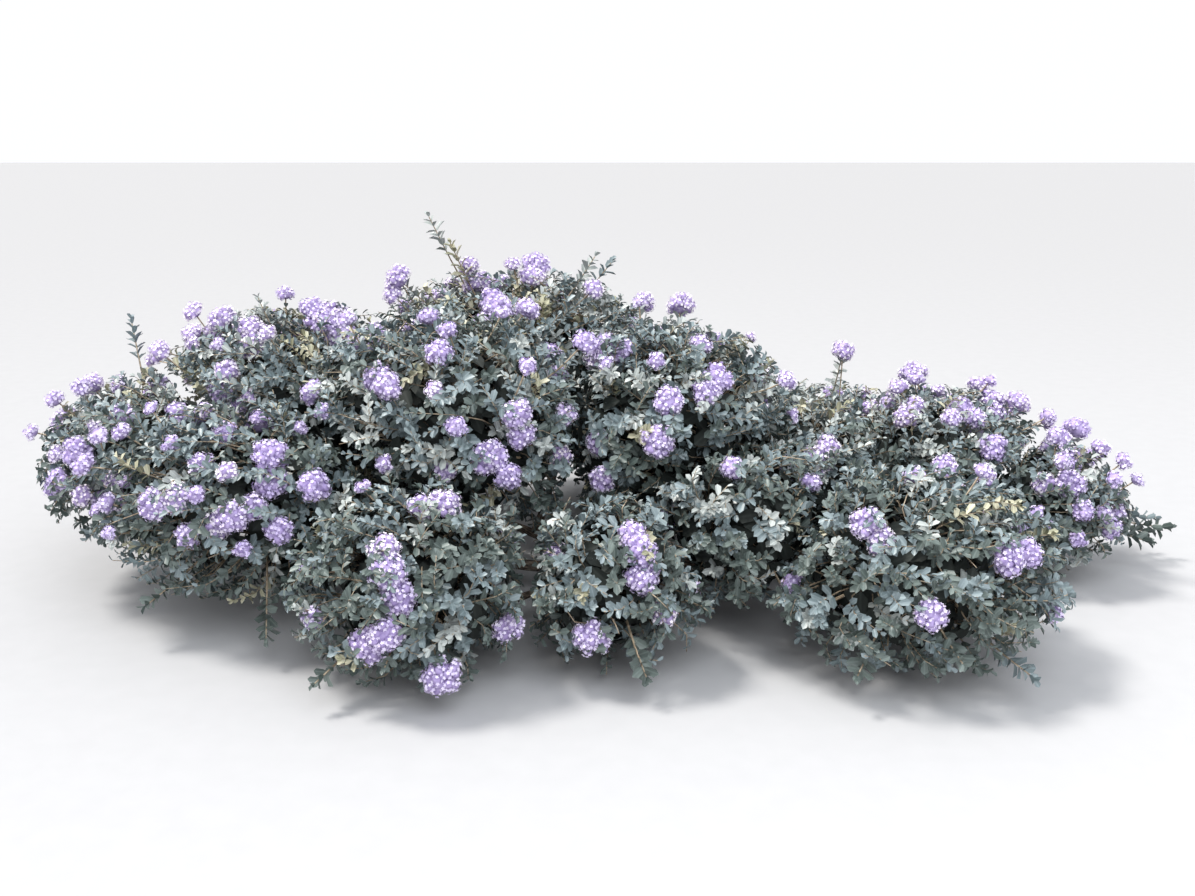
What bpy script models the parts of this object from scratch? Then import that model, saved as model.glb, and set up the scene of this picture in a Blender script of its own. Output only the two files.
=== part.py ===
"""California lilac, a low and spreading flowering shrub rooted in level ground.

A short woody stem forks close to the ground into boughs that run out low and turn up into the foliage.
The crown is a ring and a dome of foliage masses. Each mass keeps to its own space: a stem carries on from
its bough, a shaded core fills the dense middle, and leafy twigs and lilac flower heads stand out of it.
Metres, +Z up. The origin is the centre of the flat cut under the stem. The open front faces -Y.
"""

import math
import random
from typing import NamedTuple

import bmesh
import bpy
from mathutils import Matrix, Vector, noise
from mathutils.bvhtree import BVHTree

# The woody stem, from its flat cut at the ground to its fork
STEM_HEIGHT = 0.085
STEM_FOOT_RADIUS = 0.033
STEM_TOP_RADIUS = 0.019
STEM_FLARE_HEIGHT = 0.018
STEM_LEAN = Vector((0.006, 0.004, 0.0))
STEM_SIDES = 12
STEM_RINGS = 7
STEM_FORK = Vector((STEM_LEAN.x, STEM_LEAN.y, STEM_HEIGHT))

# Boughs: each is one tapering limb, which ends where it enters its mass
BOUGH_SIDES = 5
BOUGH_RINGS = 6
BOUGH_TIP_RADIUS = 0.0042
BOUGH_KNEE = 0.55
BOUGH_START_SHARE = 0.45
JOINT_GAP = 0.0004

# Foliage: a mass's own space, its core and its twigs
REACH = 1.06
FAR = 9.0
NEAR = 1.3
STEP = 0.02
BORDER = 0.03
GROUND_GAP = 0.006
LIMB_GAP = 0.004
ENTRY_DIP = math.radians(38)
CORE_SHARE = 0.78
CORE_LUMP = 0.12
CORE_LUMP_SCALE = 2.3
CORE_BACK = 0.07
CORE_SUBDIVISIONS = 2
MASS_STEM_SIDES = 5
MASS_STEM_RINGS = 3
MASS_STEM_STRAIGHT = 0.25
MASS_STEM_TIP_RADIUS = 0.003
DIRECTIONS = 160
LEAFY_TWIGS = 3
CORE_LEAVES = 15
TWIG_SIDES = 3
TWIG_ROOT_SHARE = 0.50
TWIG_ROOT_RADIUS = 0.0036
TWIG_TIP_RADIUS = 0.0017
TWIG_PAIR_BACK = 0.012
OUTER_SHARE = 0.90

# A leaf here stands for a spray of the real, 14 mm leaves. A head is one rounded cluster of flowers.
LEAF_LENGTH = 0.055
LEAF_WIDTH = 0.027
LEAF_THICKNESS = 0.0036
LEAF_ROOT_SINK = 0.0022
LEAF_PAIR_STEP = 0.0016
LEAF_SPREAD = math.radians(48)
LEAF_WIDEST = 0.14
CORE_LEAF_SINK = 0.006
CORE_LEAF_LEANS = (math.radians(40), math.radians(72))
HEAD_RADIUS = 0.022
HEAD_FLATTEN = 0.80
HEAD_SPREAD = 1.30
LOWEST_HEAD = -0.2
LEADER_RADIUS = 0.0030
LEADER_SINK = 0.55
LEADER_BOW = 0.06
LEADER_RINGS = 3
LEADER_LAST_PAIR = 0.96
LEADER_LEAFY = 0.6
SEED = 7


class Mass(NamedTuple):
    """A mass of foliage and the bough that carries it."""

    centre: tuple  # of its space
    half: tuple  # half sizes of its space
    limb: str  # the limb that its bough leaves: the stem, or the bough of another mass
    along: float  # how far along that limb
    foot: float  # the bough's radius where it leaves
    run: float  # the height that the bough runs at
    heads: int  # how many small flower heads it has besides its trusses


MASSES = {
    "left_tip": Mass((-0.665, 0.08, 0.19), (0.155, 0.20, 0.13), "stem", 0.52, 0.0095, 0.050, 2),
    "left_front": Mass((-0.46, -0.07, 0.175), (0.235, 0.18, 0.14), "left_tip", 0.30, 0.0065, 0.065, 1),
    "left_shoulder": Mass((-0.46, 0.20, 0.245), (0.24, 0.235, 0.16), "left_tip", 0.42, 0.0065, 0.095, 2),
    "left_back": Mass((-0.42, 0.46, 0.155), (0.26, 0.20, 0.155), "stem", 0.70, 0.0085, 0.060, 5),
    "front_left": Mass((-0.23, -0.24, 0.12), (0.16, 0.17, 0.13), "stem", 0.38, 0.0080, 0.045, 1),
    "crown_left": Mass((-0.21, 0.01, 0.26), (0.24, 0.215, 0.165), "stem", 0.80, 0.0078, 0.100, 1),
    "crown_back": Mass((-0.14, 0.30, 0.28), (0.255, 0.23, 0.17), "left_back", 0.30, 0.0070, 0.120, 2),
    "crown_right": Mass((0.095, 0.065, 0.245), (0.20, 0.21, 0.155), "stem", 0.84, 0.0080, 0.115, 1),
    "back": Mass((0.08, 0.49, 0.165), (0.26, 0.20, 0.16), "stem", 0.56, 0.0085, 0.055, 5),
    "saddle": Mass((0.33, 0.155, 0.145), (0.175, 0.22, 0.125), "right_tip", 0.28, 0.0060, 0.060, 1),
    "right_back": Mass((0.40, 0.41, 0.115), (0.21, 0.18, 0.12), "back", 0.30, 0.0060, 0.050, 3),
    "right_crown": Mass((0.55, 0.215, 0.14), (0.19, 0.20, 0.125), "right_tip", 0.72, 0.0060, 0.055, 2),
    "right_front": Mass((0.40, -0.20, 0.12), (0.205, 0.20, 0.13), "right_tip", 0.25, 0.0065, 0.050, 1),
    "right_tip": Mass((0.69, 0.12, 0.11), (0.13, 0.155, 0.10), "stem", 0.60, 0.0095, 0.042, 2),
    "front_middle": Mass((0.02, -0.225, 0.11), (0.13, 0.13, 0.11), "stem", 0.42, 0.0060, 0.032, 1),
    "front_right": Mass((0.20, -0.11, 0.155), (0.15, 0.17, 0.12), "stem", 0.80, 0.0065, 0.075, 1),
}

# Where the large trusses of flowers stand out of each mass: azimuth from +X and elevation in degrees, as the
# mass would show them if it were a ball, and how many heads they are made of
TRUSSES = {
    "left_tip": ((-95, -15, 2), (-115, 25, 1)),
    "left_front": ((-90, 10, 3), (-75, 45, 2), (-60, 25, 1), (-120, 15, 2)),
    "left_shoulder": ((-115, 35, 2), (-140, 65, 2), (-50, 75, 2)),
    "front_left": ((-95, 30, 3), (-95, -5, 2), (-25, 70, 2), (-25, -20, 1)),
    "crown_left": ((-110, 35, 2), (-60, 20, 2), (-65, -10, 2), (-90, 55, 1)),
    "crown_back": ((-95, 50, 2), (20, 80, 2), (-160, 75, 1)),
    "crown_right": ((-120, -15, 2), (-90, 30, 1), (-70, 35, 2), (-160, 60, 3), (-95, 10, 1)),
    "saddle": ((-95, 35, 2),),
    "right_crown": ((-45, 75, 2), (-140, 60, 2), (-70, 35, 1)),
    "right_front": ((-130, 50, 2), (-45, 30, 2), (-95, 5, 1)),
    "right_tip": ((-85, 40, 2),),
    "front_middle": ((-65, 45, 3), (-105, -20, 1)),
    "front_right": ((-110, -15, 1),),
}


class Leader(NamedTuple):
    """A long shoot that stands out of its mass and sets the crown's furthest reach."""

    mass: str
    tip: tuple
    pairs: int  # of leaves along it
    heads: int  # of flowers at its end


LEADERS = (
    Leader("crown_back", (-0.270, 0.250, 0.545), 3, 0),
    Leader("crown_back", (-0.335, 0.250, 0.455), 1, 2),
    Leader("crown_back", (0.030, 0.300, 0.470), 2, 0),
    Leader("crown_back", (0.095, 0.290, 0.410), 1, 1),
    Leader("crown_right", (0.135, 0.220, 0.420), 1, 1),
    Leader("crown_right", (0.250, 0.060, 0.352), 2, 0),
    Leader("left_shoulder", (-0.590, 0.150, 0.405), 1, 2),
    Leader("left_tip", (-0.735, 0.200, 0.390), 2, 0),
    Leader("right_back", (0.425, 0.350, 0.325), 1, 1),
    Leader("right_tip", (0.925, 0.150, 0.052), 3, 0),
    Leader("left_front", (-0.600, -0.200, 0.060), 2, 0),
    Leader("front_left", (-0.175, -0.400, 0.045), 2, 1),
    Leader("crown_back", (-0.095, 0.270, 0.480), 1, 2),
    Leader("crown_back", (-0.215, 0.270, 0.478), 1, 1),
    Leader("left_shoulder", (-0.440, 0.170, 0.425), 1, 2),
    Leader("right_crown", (0.520, 0.280, 0.300), 1, 1),
    Leader("right_crown", (0.640, 0.270, 0.280), 1, 2),
    Leader("right_tip", (0.775, 0.190, 0.225), 1, 1),
)


def clear_scene():
    for thing in list(bpy.data.objects):
        bpy.data.objects.remove(thing)


def material(name, colour, roughness):
    """A Principled BSDF with a base colour and a roughness."""
    made = bpy.data.materials.new(name)
    made.use_nodes = True
    made.diffuse_color = (*colour, 1.0)
    shader = made.node_tree.nodes["Principled BSDF"]
    shader.inputs["Base Color"].default_value = (*colour, 1.0)
    shader.inputs["Roughness"].default_value = roughness
    shader.inputs["Metallic"].default_value = 0.0
    return made


def add_object(name, bm, finish, collection=None):
    mesh = bpy.data.meshes.new(name)
    bmesh.ops.recalc_face_normals(bm, faces=bm.faces)
    bm.to_mesh(mesh)
    bm.free()
    mesh.materials.append(finish)
    made = bpy.data.objects.new(name, mesh)
    (collection or bpy.context.scene.collection).objects.link(made)
    return made


def tube(path, radii, sides):
    """A closed tube through the points of path, with a radius at each."""
    bm = bmesh.new()
    rings = []
    last = len(path) - 1
    side = (path[-1] - path[0]).orthogonal().normalized()
    for i, (point, radius) in enumerate(zip(path, radii)):
        ahead = (path[min(i + 1, last)] - path[max(i - 1, 0)]).normalized()
        side = (side - ahead * side.dot(ahead)).normalized()
        frame = Matrix((side, ahead.cross(side), ahead)).transposed().to_4x4()
        frame.translation = point
        made = bmesh.ops.create_circle(
            bm, cap_ends=i in (0, last), segments=sides, radius=radius, matrix=frame
        )
        rings.append(made["verts"])
    for lower, upper in zip(rings, rings[1:]):
        for k in range(sides):
            j = (k + 1) % sides
            bm.faces.new((lower[k], lower[j], upper[j], upper[k]))
    return bm


def curve_points(start, knee, end, count):
    """Points on the quadratic curve from start to end that is drawn towards the knee."""
    steps = [i / count for i in range(count + 1)]
    return [(1 - t) ** 2 * start + 2 * t * (1 - t) * knee + t * t * end for t in steps]


def stem_rings():
    """The stem's centreline and radii: a root flare at the foot, then an even taper to the fork."""
    path, radii = [], []
    for i in range(STEM_RINGS + 1):
        share = (i / STEM_RINGS) ** 1.4
        flare = math.exp(-share * STEM_HEIGHT / STEM_FLARE_HEIGHT)
        trunk = STEM_TOP_RADIUS * (1.12 - 0.12 * share)
        path.append(Vector((0, 0, STEM_HEIGHT * share)) + STEM_LEAN * share**2)
        radii.append(trunk + (STEM_FOOT_RADIUS - STEM_TOP_RADIUS * 1.12) * flare)
    return path, radii


def point_along(path, radii, share):
    """The point and radius at a share of the way along a limb."""
    place = share * (len(path) - 1)
    i = min(int(place), len(path) - 2)
    part = place - i
    return path[i].lerp(path[i + 1], part), radii[i] * (1 - part) + radii[i + 1] * part


def entry_point(mass):
    """Where a bough enters its mass: low on the side that faces the stem, lower still close to the stem."""
    inward = STEM_FORK - Vector(mass.centre)
    level = Vector((inward.x / mass.half[0], inward.y / mass.half[1], 0))
    dip = max(ENTRY_DIP, math.atan2(-inward.z / mass.half[2], level.length))
    direction = level.normalized() * math.cos(dip) - Vector((0, 0, math.sin(dip)))
    return out_from(mass, direction, 1.0)


def grow_boughs():
    """The centreline and radii of every limb by name, the stem's among them."""
    limbs = {"stem": stem_rings()}
    waiting = dict(MASSES)
    while waiting:
        for name, mass in list(waiting.items()):
            if mass.limb not in limbs:
                continue
            start, radius = point_along(*limbs[mass.limb], mass.along)
            end = entry_point(mass)
            knee = start.lerp(end, BOUGH_KNEE)
            knee.z = mass.run
            start = start + (knee - start).normalized() * radius * BOUGH_START_SHARE
            path = curve_points(start, knee, end, BOUGH_RINGS)
            steps = [i / BOUGH_RINGS for i in range(BOUGH_RINGS + 1)]
            radii = [mass.foot + (BOUGH_TIP_RADIUS - mass.foot) * t**0.8 for t in steps]
            limbs[name] = (path, radii)
            del waiting[name]
    return limbs


def gap_to_limb(point, path, radii):
    """The clear distance from a point to a limb's surface."""
    best = math.inf
    for a, b, ra, rb in zip(path, path[1:], radii, radii[1:]):
        along = b - a
        share = max(0.0, min(1.0, (point - a).dot(along) / along.length_squared))
        best = min(best, (point - a - along * share).length - max(ra, rb))
    return best


def depth(mass, point):
    """How far out a point lies in a mass's space: 0 at the centre and 1 at the crown's surface."""
    return Vector((p - c) / h for p, c, h in zip(point, mass.centre, mass.half)).length


class Space:
    """A mass's own space: nearer to its centre than to any other, above the ground and clear of the limbs."""

    def __init__(self, name, limbs):
        self.mass = MASSES[name]
        self.others = [m for other, m in MASSES.items() if other != name and self.is_near(m)]
        self.limbs = [(path, radii) for path, radii in limbs.values() if self.passes(path)]

    def is_near(self, other):
        pairs = zip(self.mass.centre, other.centre, self.mass.half, other.half)
        return all(abs(a - b) < (ha + hb) * NEAR for a, b, ha, hb in pairs)

    def passes(self, path):
        return any(depth(self.mass, point) < NEAR for point in path)

    def holds(self, point, reach=REACH):
        """Whether a point lies in the space, as far out as reach."""
        own = depth(self.mass, point)
        if own > reach or point.z < GROUND_GAP:
            return False
        if any(depth(other, point) < own + BORDER for other in self.others):
            return False
        return all(gap_to_limb(point, *limb) > LIMB_GAP for limb in self.limbs)

    def is_open(self, point):
        """Whether a point of a long shoot is outside other spaces, above the ground and clear of limbs."""
        if point.z < GROUND_GAP or any(depth(other, point) < REACH + BORDER for other in self.others):
            return False
        return all(gap_to_limb(point, *limb) > LIMB_GAP for limb in self.limbs)

    def edge_share(self, direction, most):
        """How far out a direction runs before it leaves the space, as a share of the way to the surface."""
        share = 0.0
        while share < most and self.holds(out_from(self.mass, direction, share + STEP), FAR):
            share += STEP
        return share


def out_from(mass, direction, share):
    """The point at a share of the way out from the centre, along a direction of the unit sphere."""
    return Vector(c + d * h * share for c, d, h in zip(mass.centre, direction, mass.half))


def sphere_directions(count):
    """Directions spread evenly over the unit sphere."""
    turn = math.pi * (3 - math.sqrt(5))
    found = []
    for i in range(count):
        height = 1 - 2 * (i + 0.5) / count
        ring = math.sqrt(1 - height * height)
        found.append(Vector((ring * math.cos(turn * i), ring * math.sin(turn * i), height)))
    return found


def direction_at(azimuth, elevation):
    """The unit direction at an azimuth from +X and an elevation, both in degrees."""
    turn, rise = math.radians(azimuth), math.radians(elevation)
    return Vector((math.cos(rise) * math.cos(turn), math.cos(rise) * math.sin(turn), math.sin(rise)))


def spread_out(points, taken, count):
    """A number of the points, each as far as can be from the ones before it and from those taken."""
    chosen = list(taken) or [points[0]]
    while len(chosen) < len(taken) + min(count, len(points)):
        chosen.append(max(points, key=lambda p: min((p - c).length for c in chosen)))
    return chosen[len(taken):]


def core(mass, space):
    """The dense middle of a mass: a lumpy ball that stops short of the neighbouring spaces."""
    bm = bmesh.new()
    bmesh.ops.create_icosphere(bm, subdivisions=CORE_SUBDIVISIONS, radius=1.0)
    for vertex in bm.verts:
        direction = vertex.co.normalized()
        lump = noise.noise(direction * CORE_LUMP_SCALE + Vector(mass.centre) * 10)
        share = min(CORE_SHARE + CORE_LUMP * lump, space.edge_share(direction, 1.0) - CORE_BACK)
        vertex.co = out_from(mass, direction, share)
    return bm


def leaf(root, along, face):
    """A thin, eight-faced leaf from its root, pointing along, with its blade's face turned to face."""
    bm = bmesh.new()
    bmesh.ops.create_uvsphere(bm, u_segments=4, v_segments=2, radius=0.5)
    across = along.cross(face).normalized()
    frame = Matrix((along, across, along.cross(across))).transposed().to_4x4()
    frame.translation = root
    for vertex in bm.verts:
        x, y, z = vertex.co
        shift = LEAF_WIDEST if abs(x) < 0.25 else 0.0
        place = Vector((x + 0.5 + shift, 0, 0)) * LEAF_LENGTH
        vertex.co = frame @ (place + Vector((0, y * LEAF_WIDTH, z * LEAF_THICKNESS)))
    return bm


def head(centre, axis, radius):
    """One rounded flower cluster, slightly flattened along its axis."""
    bm = bmesh.new()
    bmesh.ops.create_icosphere(bm, subdivisions=1, radius=radius)
    turn = axis.to_track_quat("Z", "Y").to_matrix().to_4x4()
    squash = Matrix.Diagonal((1, 1, HEAD_FLATTEN, 1))
    bmesh.ops.transform(bm, matrix=Matrix.Translation(centre) @ turn @ squash, verts=bm.verts)
    return bm


def drop_scraps(mesh):
    """Keeps the largest closed body of a mesh, so that no loose scrap or sealed hollow is left."""
    bm = bmesh.new()
    bm.from_mesh(mesh)
    waiting = set(bm.verts)
    bodies = []
    while waiting:
        body, edge = set(), {waiting.pop()}
        while edge:
            vertex = edge.pop()
            body.add(vertex)
            edge |= {e.other_vert(vertex) for e in vertex.link_edges} - body
        waiting -= body
        bodies.append(body)
    bodies.sort(key=len)
    bmesh.ops.delete(bm, geom=[v for body in bodies[:-1] for v in body], context="VERTS")
    bm.to_mesh(mesh)
    bm.free()


class Foliage:
    """Collects the twigs, leaves and heads of one mass, and fuses them."""

    def __init__(self, name, limbs, finishes):
        self.name, self.mass, self.path, self.finishes = name, MASSES[name], limbs[name][0], finishes
        self.space = Space(name, limbs)
        self.core = core(self.mass, self.space)
        self.core_surface = BVHTree.FromBMesh(self.core)
        self.parts = bpy.data.collections.new(name + "_parts")
        bpy.context.scene.collection.children.link(self.parts)
        self.draw = random.Random(f"{SEED} {name}")

    def add(self, kind, bm, finish, fits):
        """Keeps a piece if every corner of it fits."""
        if all(fits(vertex.co) for vertex in bm.verts):
            add_object(f"{self.name}_{kind}", bm, self.finishes[finish], self.parts)
            return True
        bm.free()
        return False

    def add_stem(self):
        """The stem inside the mass, which carries straight on from the tip of its bough to the centre."""
        heading = (self.path[-1] - self.path[-2]).normalized()
        foot = self.path[-1] + heading * JOINT_GAP
        start = foot + heading * BOUGH_TIP_RADIUS
        centre = Vector(self.mass.centre)
        middle = start + heading * (centre - start).length * MASS_STEM_STRAIGHT
        points = [foot] + curve_points(start, middle, centre, MASS_STEM_RINGS)
        steps = [i / (len(points) - 1) for i in range(len(points))]
        radii = [BOUGH_TIP_RADIUS + (MASS_STEM_TIP_RADIUS - BOUGH_TIP_RADIUS) * t for t in steps]
        limb = tube(points, radii, MASS_STEM_SIDES)
        add_object(self.name + "_limb", limb, self.finishes["bark"], self.parts)

    def add_leaf_pair(self, point, heading, turn, fits):
        """Two opposite leaves on a twig."""
        side = heading.orthogonal().normalized()
        side.rotate(Matrix.Rotation(turn, 3, heading))
        for place, out in ((point, side), (point + heading * LEAF_PAIR_STEP, -side)):
            along = (heading * math.cos(LEAF_SPREAD) + out * math.sin(LEAF_SPREAD)).normalized()
            face = (heading - along * heading.dot(along)).normalized()
            self.add("leaf", leaf(place - along * LEAF_ROOT_SINK, along, face), "leaf", fits)

    def add_end(self, tip, heading, heads, fits):
        """What ends a twig: a truss of flower heads, or one more leaf."""
        if not heads:
            face = heading.orthogonal()
            self.add("leaf", leaf(tip - heading * LEAF_ROOT_SINK, heading, face), "leaf", fits)
            return
        side = heading.orthogonal().normalized()
        side.rotate(Matrix.Rotation(self.draw.uniform(0, 2 * math.pi), 3, heading))
        for k in range(heads):
            radius = HEAD_RADIUS * self.draw.uniform(0.85, 1.15)
            centre = tip + (side * HEAD_SPREAD * (0, 1, -1)[k] - heading * 0.6 * min(k, 1)) * radius
            self.add("head", head(centre, heading, radius), "blossom", fits)

    def add_twig(self, direction, heads):
        """A twig from inside the core to near the surface, with flowers at its end or leaves."""
        room = self.space.edge_share(direction, REACH)
        root = out_from(self.mass, direction, TWIG_ROOT_SHARE)
        length = HEAD_RADIUS * 1.25 if heads else LEAF_LENGTH
        outward = (out_from(self.mass, direction, 1.0) - root).normalized()
        tip = out_from(self.mass, direction, room) - outward * length
        heading = (tip - root).normalized()
        twig = tube([root, tip], [TWIG_ROOT_RADIUS, TWIG_TIP_RADIUS], TWIG_SIDES)
        if self.add("twig", twig, "bark", self.space.holds):
            if not heads:
                pair_at = tip - heading * TWIG_PAIR_BACK
                self.add_leaf_pair(pair_at, heading, self.draw.uniform(0, math.pi), self.space.holds)
            self.add_end(tip, heading, heads, self.space.holds)

    def add_core_leaf(self, direction):
        """A leaf that stands out of the core, leaning away from straight out."""
        centre = Vector(self.mass.centre)
        outward = (out_from(self.mass, direction, 1.0) - centre).normalized()
        surface = self.core_surface.ray_cast(centre, outward)[0]
        side = outward.orthogonal().normalized()
        side.rotate(Matrix.Rotation(self.draw.uniform(0, 2 * math.pi), 3, outward))
        lean = self.draw.uniform(*CORE_LEAF_LEANS)
        along = outward * math.cos(lean) + side * math.sin(lean)
        root = surface - outward * CORE_LEAF_SINK
        return self.add("leaf", leaf(root, along, outward), "leaf", self.space.holds)

    def add_leader(self, leader):
        """A long shoot from the core out to its own tip, with pairs of leaves and an end."""
        tip, centre = Vector(leader.tip), Vector(self.mass.centre)
        root = centre.lerp(tip, LEADER_SINK * CORE_SHARE / depth(self.mass, tip))
        knee = root.lerp(tip, 0.5) - Vector((0, 0, (tip - root).length * LEADER_BOW))
        end = tip - (tip - knee).normalized() * (HEAD_RADIUS if leader.heads else LEAF_LENGTH)
        path = curve_points(root, knee, end, LEADER_RINGS)
        radii = [LEADER_RADIUS * (1 - 0.45 * i / LEADER_RINGS) for i in range(LEADER_RINGS + 1)]
        heading = (path[-1] - path[-2]).normalized()
        if not self.add("leader", tube(path, radii, TWIG_SIDES), "bark", self.space.is_open):
            return
        for k in range(leader.pairs):
            point, _ = point_along(path, radii, LEADER_LAST_PAIR - LEADER_LEAFY * k / leader.pairs)
            self.add_leaf_pair(point, heading, k * math.pi / 2, self.space.is_open)
        self.add_end(end, heading, leader.heads, self.space.is_open)

    def grow(self):
        self.add_stem()
        outer = [
            direction
            for direction in sphere_directions(DIRECTIONS)
            if self.space.edge_share(direction, 1.0) >= OUTER_SHARE
        ]
        trusses = TRUSSES.get(self.name, ())
        taken = [direction_at(azimuth, elevation) for azimuth, elevation, _ in trusses]
        for direction, (_, _, heads) in zip(taken, trusses):
            self.add_twig(direction, heads)
        chosen = spread_out([d for d in outer if d.z > LOWEST_HEAD], taken, self.mass.heads)
        for direction in chosen:
            self.add_twig(direction, 1)
        taken += chosen
        chosen = spread_out(outer, taken, LEAFY_TWIGS)
        for direction in chosen:
            self.add_twig(direction, 0)
        taken += chosen
        grown = 0
        for direction in spread_out(outer, taken, len(outer)):
            if grown == CORE_LEAVES:
                break
            grown += self.add_core_leaf(direction)
        for leader in LEADERS:
            if leader.mass == self.name:
                self.add_leader(leader)

    def fuse(self):
        """One Boolean union of the core with everything that stands out of it."""
        made = add_object(self.name + "_foliage", self.core, self.finishes["shade"])
        union = made.modifiers.new("fuse", "BOOLEAN")
        union.operation = "UNION"
        union.operand_type = "COLLECTION"
        union.collection = self.parts
        union.solver = "EXACT"
        union.material_mode = "TRANSFER"
        apply_modifier(made, "fuse")
        for part in list(self.parts.objects):
            bpy.data.objects.remove(part)
        bpy.data.collections.remove(self.parts)
        drop_scraps(made.data)
        return made


def apply_modifier(made, name):
    with bpy.context.temp_override(object=made, active_object=made):
        bpy.ops.object.modifier_apply(modifier=name)


def build_stem(limbs, finish):
    """The stem, with a flat cut at the ground."""
    path, radii = limbs["stem"]
    stem = add_object("stem", tube(path, radii, STEM_SIDES), finish)
    stem.data.shade_smooth()
    return stem


def build_bough(name, limbs, finish):
    """One bough, cut clear of the limb that it leaves."""
    bough = add_object(name + "_bough", tube(*limbs[name], BOUGH_SIDES), finish)
    path, radii = limbs[MASSES[name].limb]
    sides = STEM_SIDES if MASSES[name].limb == "stem" else BOUGH_SIDES
    longer = path[:-1] + [path[-1] + (path[-1] - path[-2]).normalized() * JOINT_GAP]
    cutter = add_object(name + "_cutter", tube(longer, [r + JOINT_GAP for r in radii], sides), finish)
    cut = bough.modifiers.new("joint", "BOOLEAN")
    cut.operation = "DIFFERENCE"
    cut.object = cutter
    cut.solver = "EXACT"
    apply_modifier(bough, "joint")
    bpy.data.objects.remove(cutter)
    drop_scraps(bough.data)
    return bough


def main():
    clear_scene()
    finishes = {
        "bark": material("bark", (0.23, 0.17, 0.13), 0.85),
        "shade": material("shaded_foliage", (0.05, 0.07, 0.055), 0.9),
        "leaf": material("leaf", (0.16, 0.21, 0.20), 0.5),
        "blossom": material("blossom", (0.56, 0.47, 0.80), 0.7),
    }
    limbs = grow_boughs()
    build_stem(limbs, finishes["bark"])
    for name in MASSES:
        build_bough(name, limbs, finishes["bark"])
        foliage = Foliage(name, limbs, finishes)
        foliage.grow()
        foliage.fuse()


main()
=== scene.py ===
# %% [markdown]
# A California lilac in flower
#
# The real plant is a low evergreen shrub that spreads far wider than it stands high. A short stem forks
# close to the ground, boughs run out low, and every bough ends in a mass of fine twigs. The twigs carry
# pairs of small, waxy, grey-green leaves, and many end in a rounded cluster of tiny lilac flowers. A shrub
# like this could be a few flat cards with painted leaves, or a particle system. Here every twig, leaf and
# flower is grown by a rule, as mesh, because then each one keeps its place from every side.

# %% Load the frame
import math
import random
from typing import NamedTuple

import bmesh
import bpy
import numpy as np
from mathutils import Matrix, Vector, noise


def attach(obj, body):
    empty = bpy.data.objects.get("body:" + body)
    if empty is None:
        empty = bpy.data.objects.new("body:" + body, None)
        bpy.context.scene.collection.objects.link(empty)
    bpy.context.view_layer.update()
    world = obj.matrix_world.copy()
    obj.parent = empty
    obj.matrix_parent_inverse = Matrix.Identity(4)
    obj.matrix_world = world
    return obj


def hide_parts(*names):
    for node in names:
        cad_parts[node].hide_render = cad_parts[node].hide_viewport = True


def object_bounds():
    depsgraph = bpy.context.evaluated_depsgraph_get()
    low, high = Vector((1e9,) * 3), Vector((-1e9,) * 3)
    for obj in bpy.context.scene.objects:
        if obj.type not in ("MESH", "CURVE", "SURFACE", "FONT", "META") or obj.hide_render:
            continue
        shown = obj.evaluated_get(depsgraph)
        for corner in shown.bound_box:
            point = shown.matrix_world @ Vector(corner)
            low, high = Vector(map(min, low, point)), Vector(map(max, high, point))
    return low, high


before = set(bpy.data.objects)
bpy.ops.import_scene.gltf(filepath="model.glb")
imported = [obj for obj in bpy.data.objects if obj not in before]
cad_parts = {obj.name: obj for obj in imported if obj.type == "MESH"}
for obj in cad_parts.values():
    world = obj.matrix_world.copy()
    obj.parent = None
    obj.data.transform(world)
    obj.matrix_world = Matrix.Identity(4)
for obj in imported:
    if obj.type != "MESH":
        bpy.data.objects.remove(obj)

cad_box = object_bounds()
print("frame box", [tuple(round(c, 3) for c in corner) for corner in cad_box])

# %% [markdown]
# The plan of the shrub
#
# A crown is easier to grow when it is split into masses, each with its own space. A space is a ball
# stretched to three half sizes. The same plan sets the solids of the frame, so twigs that follow it end
# where the solids do. A mass also says which limb its bough leaves, how far along, how thick it starts and
# how high it runs. The last two numbers are the flower heads: the larger ones by the frame's rule, and
# extra small ones.

# %% Masses
class Mass(NamedTuple):
    centre: tuple
    half: tuple
    limb: str
    along: float
    foot: float
    run: float
    heads: int
    small: int


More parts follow.
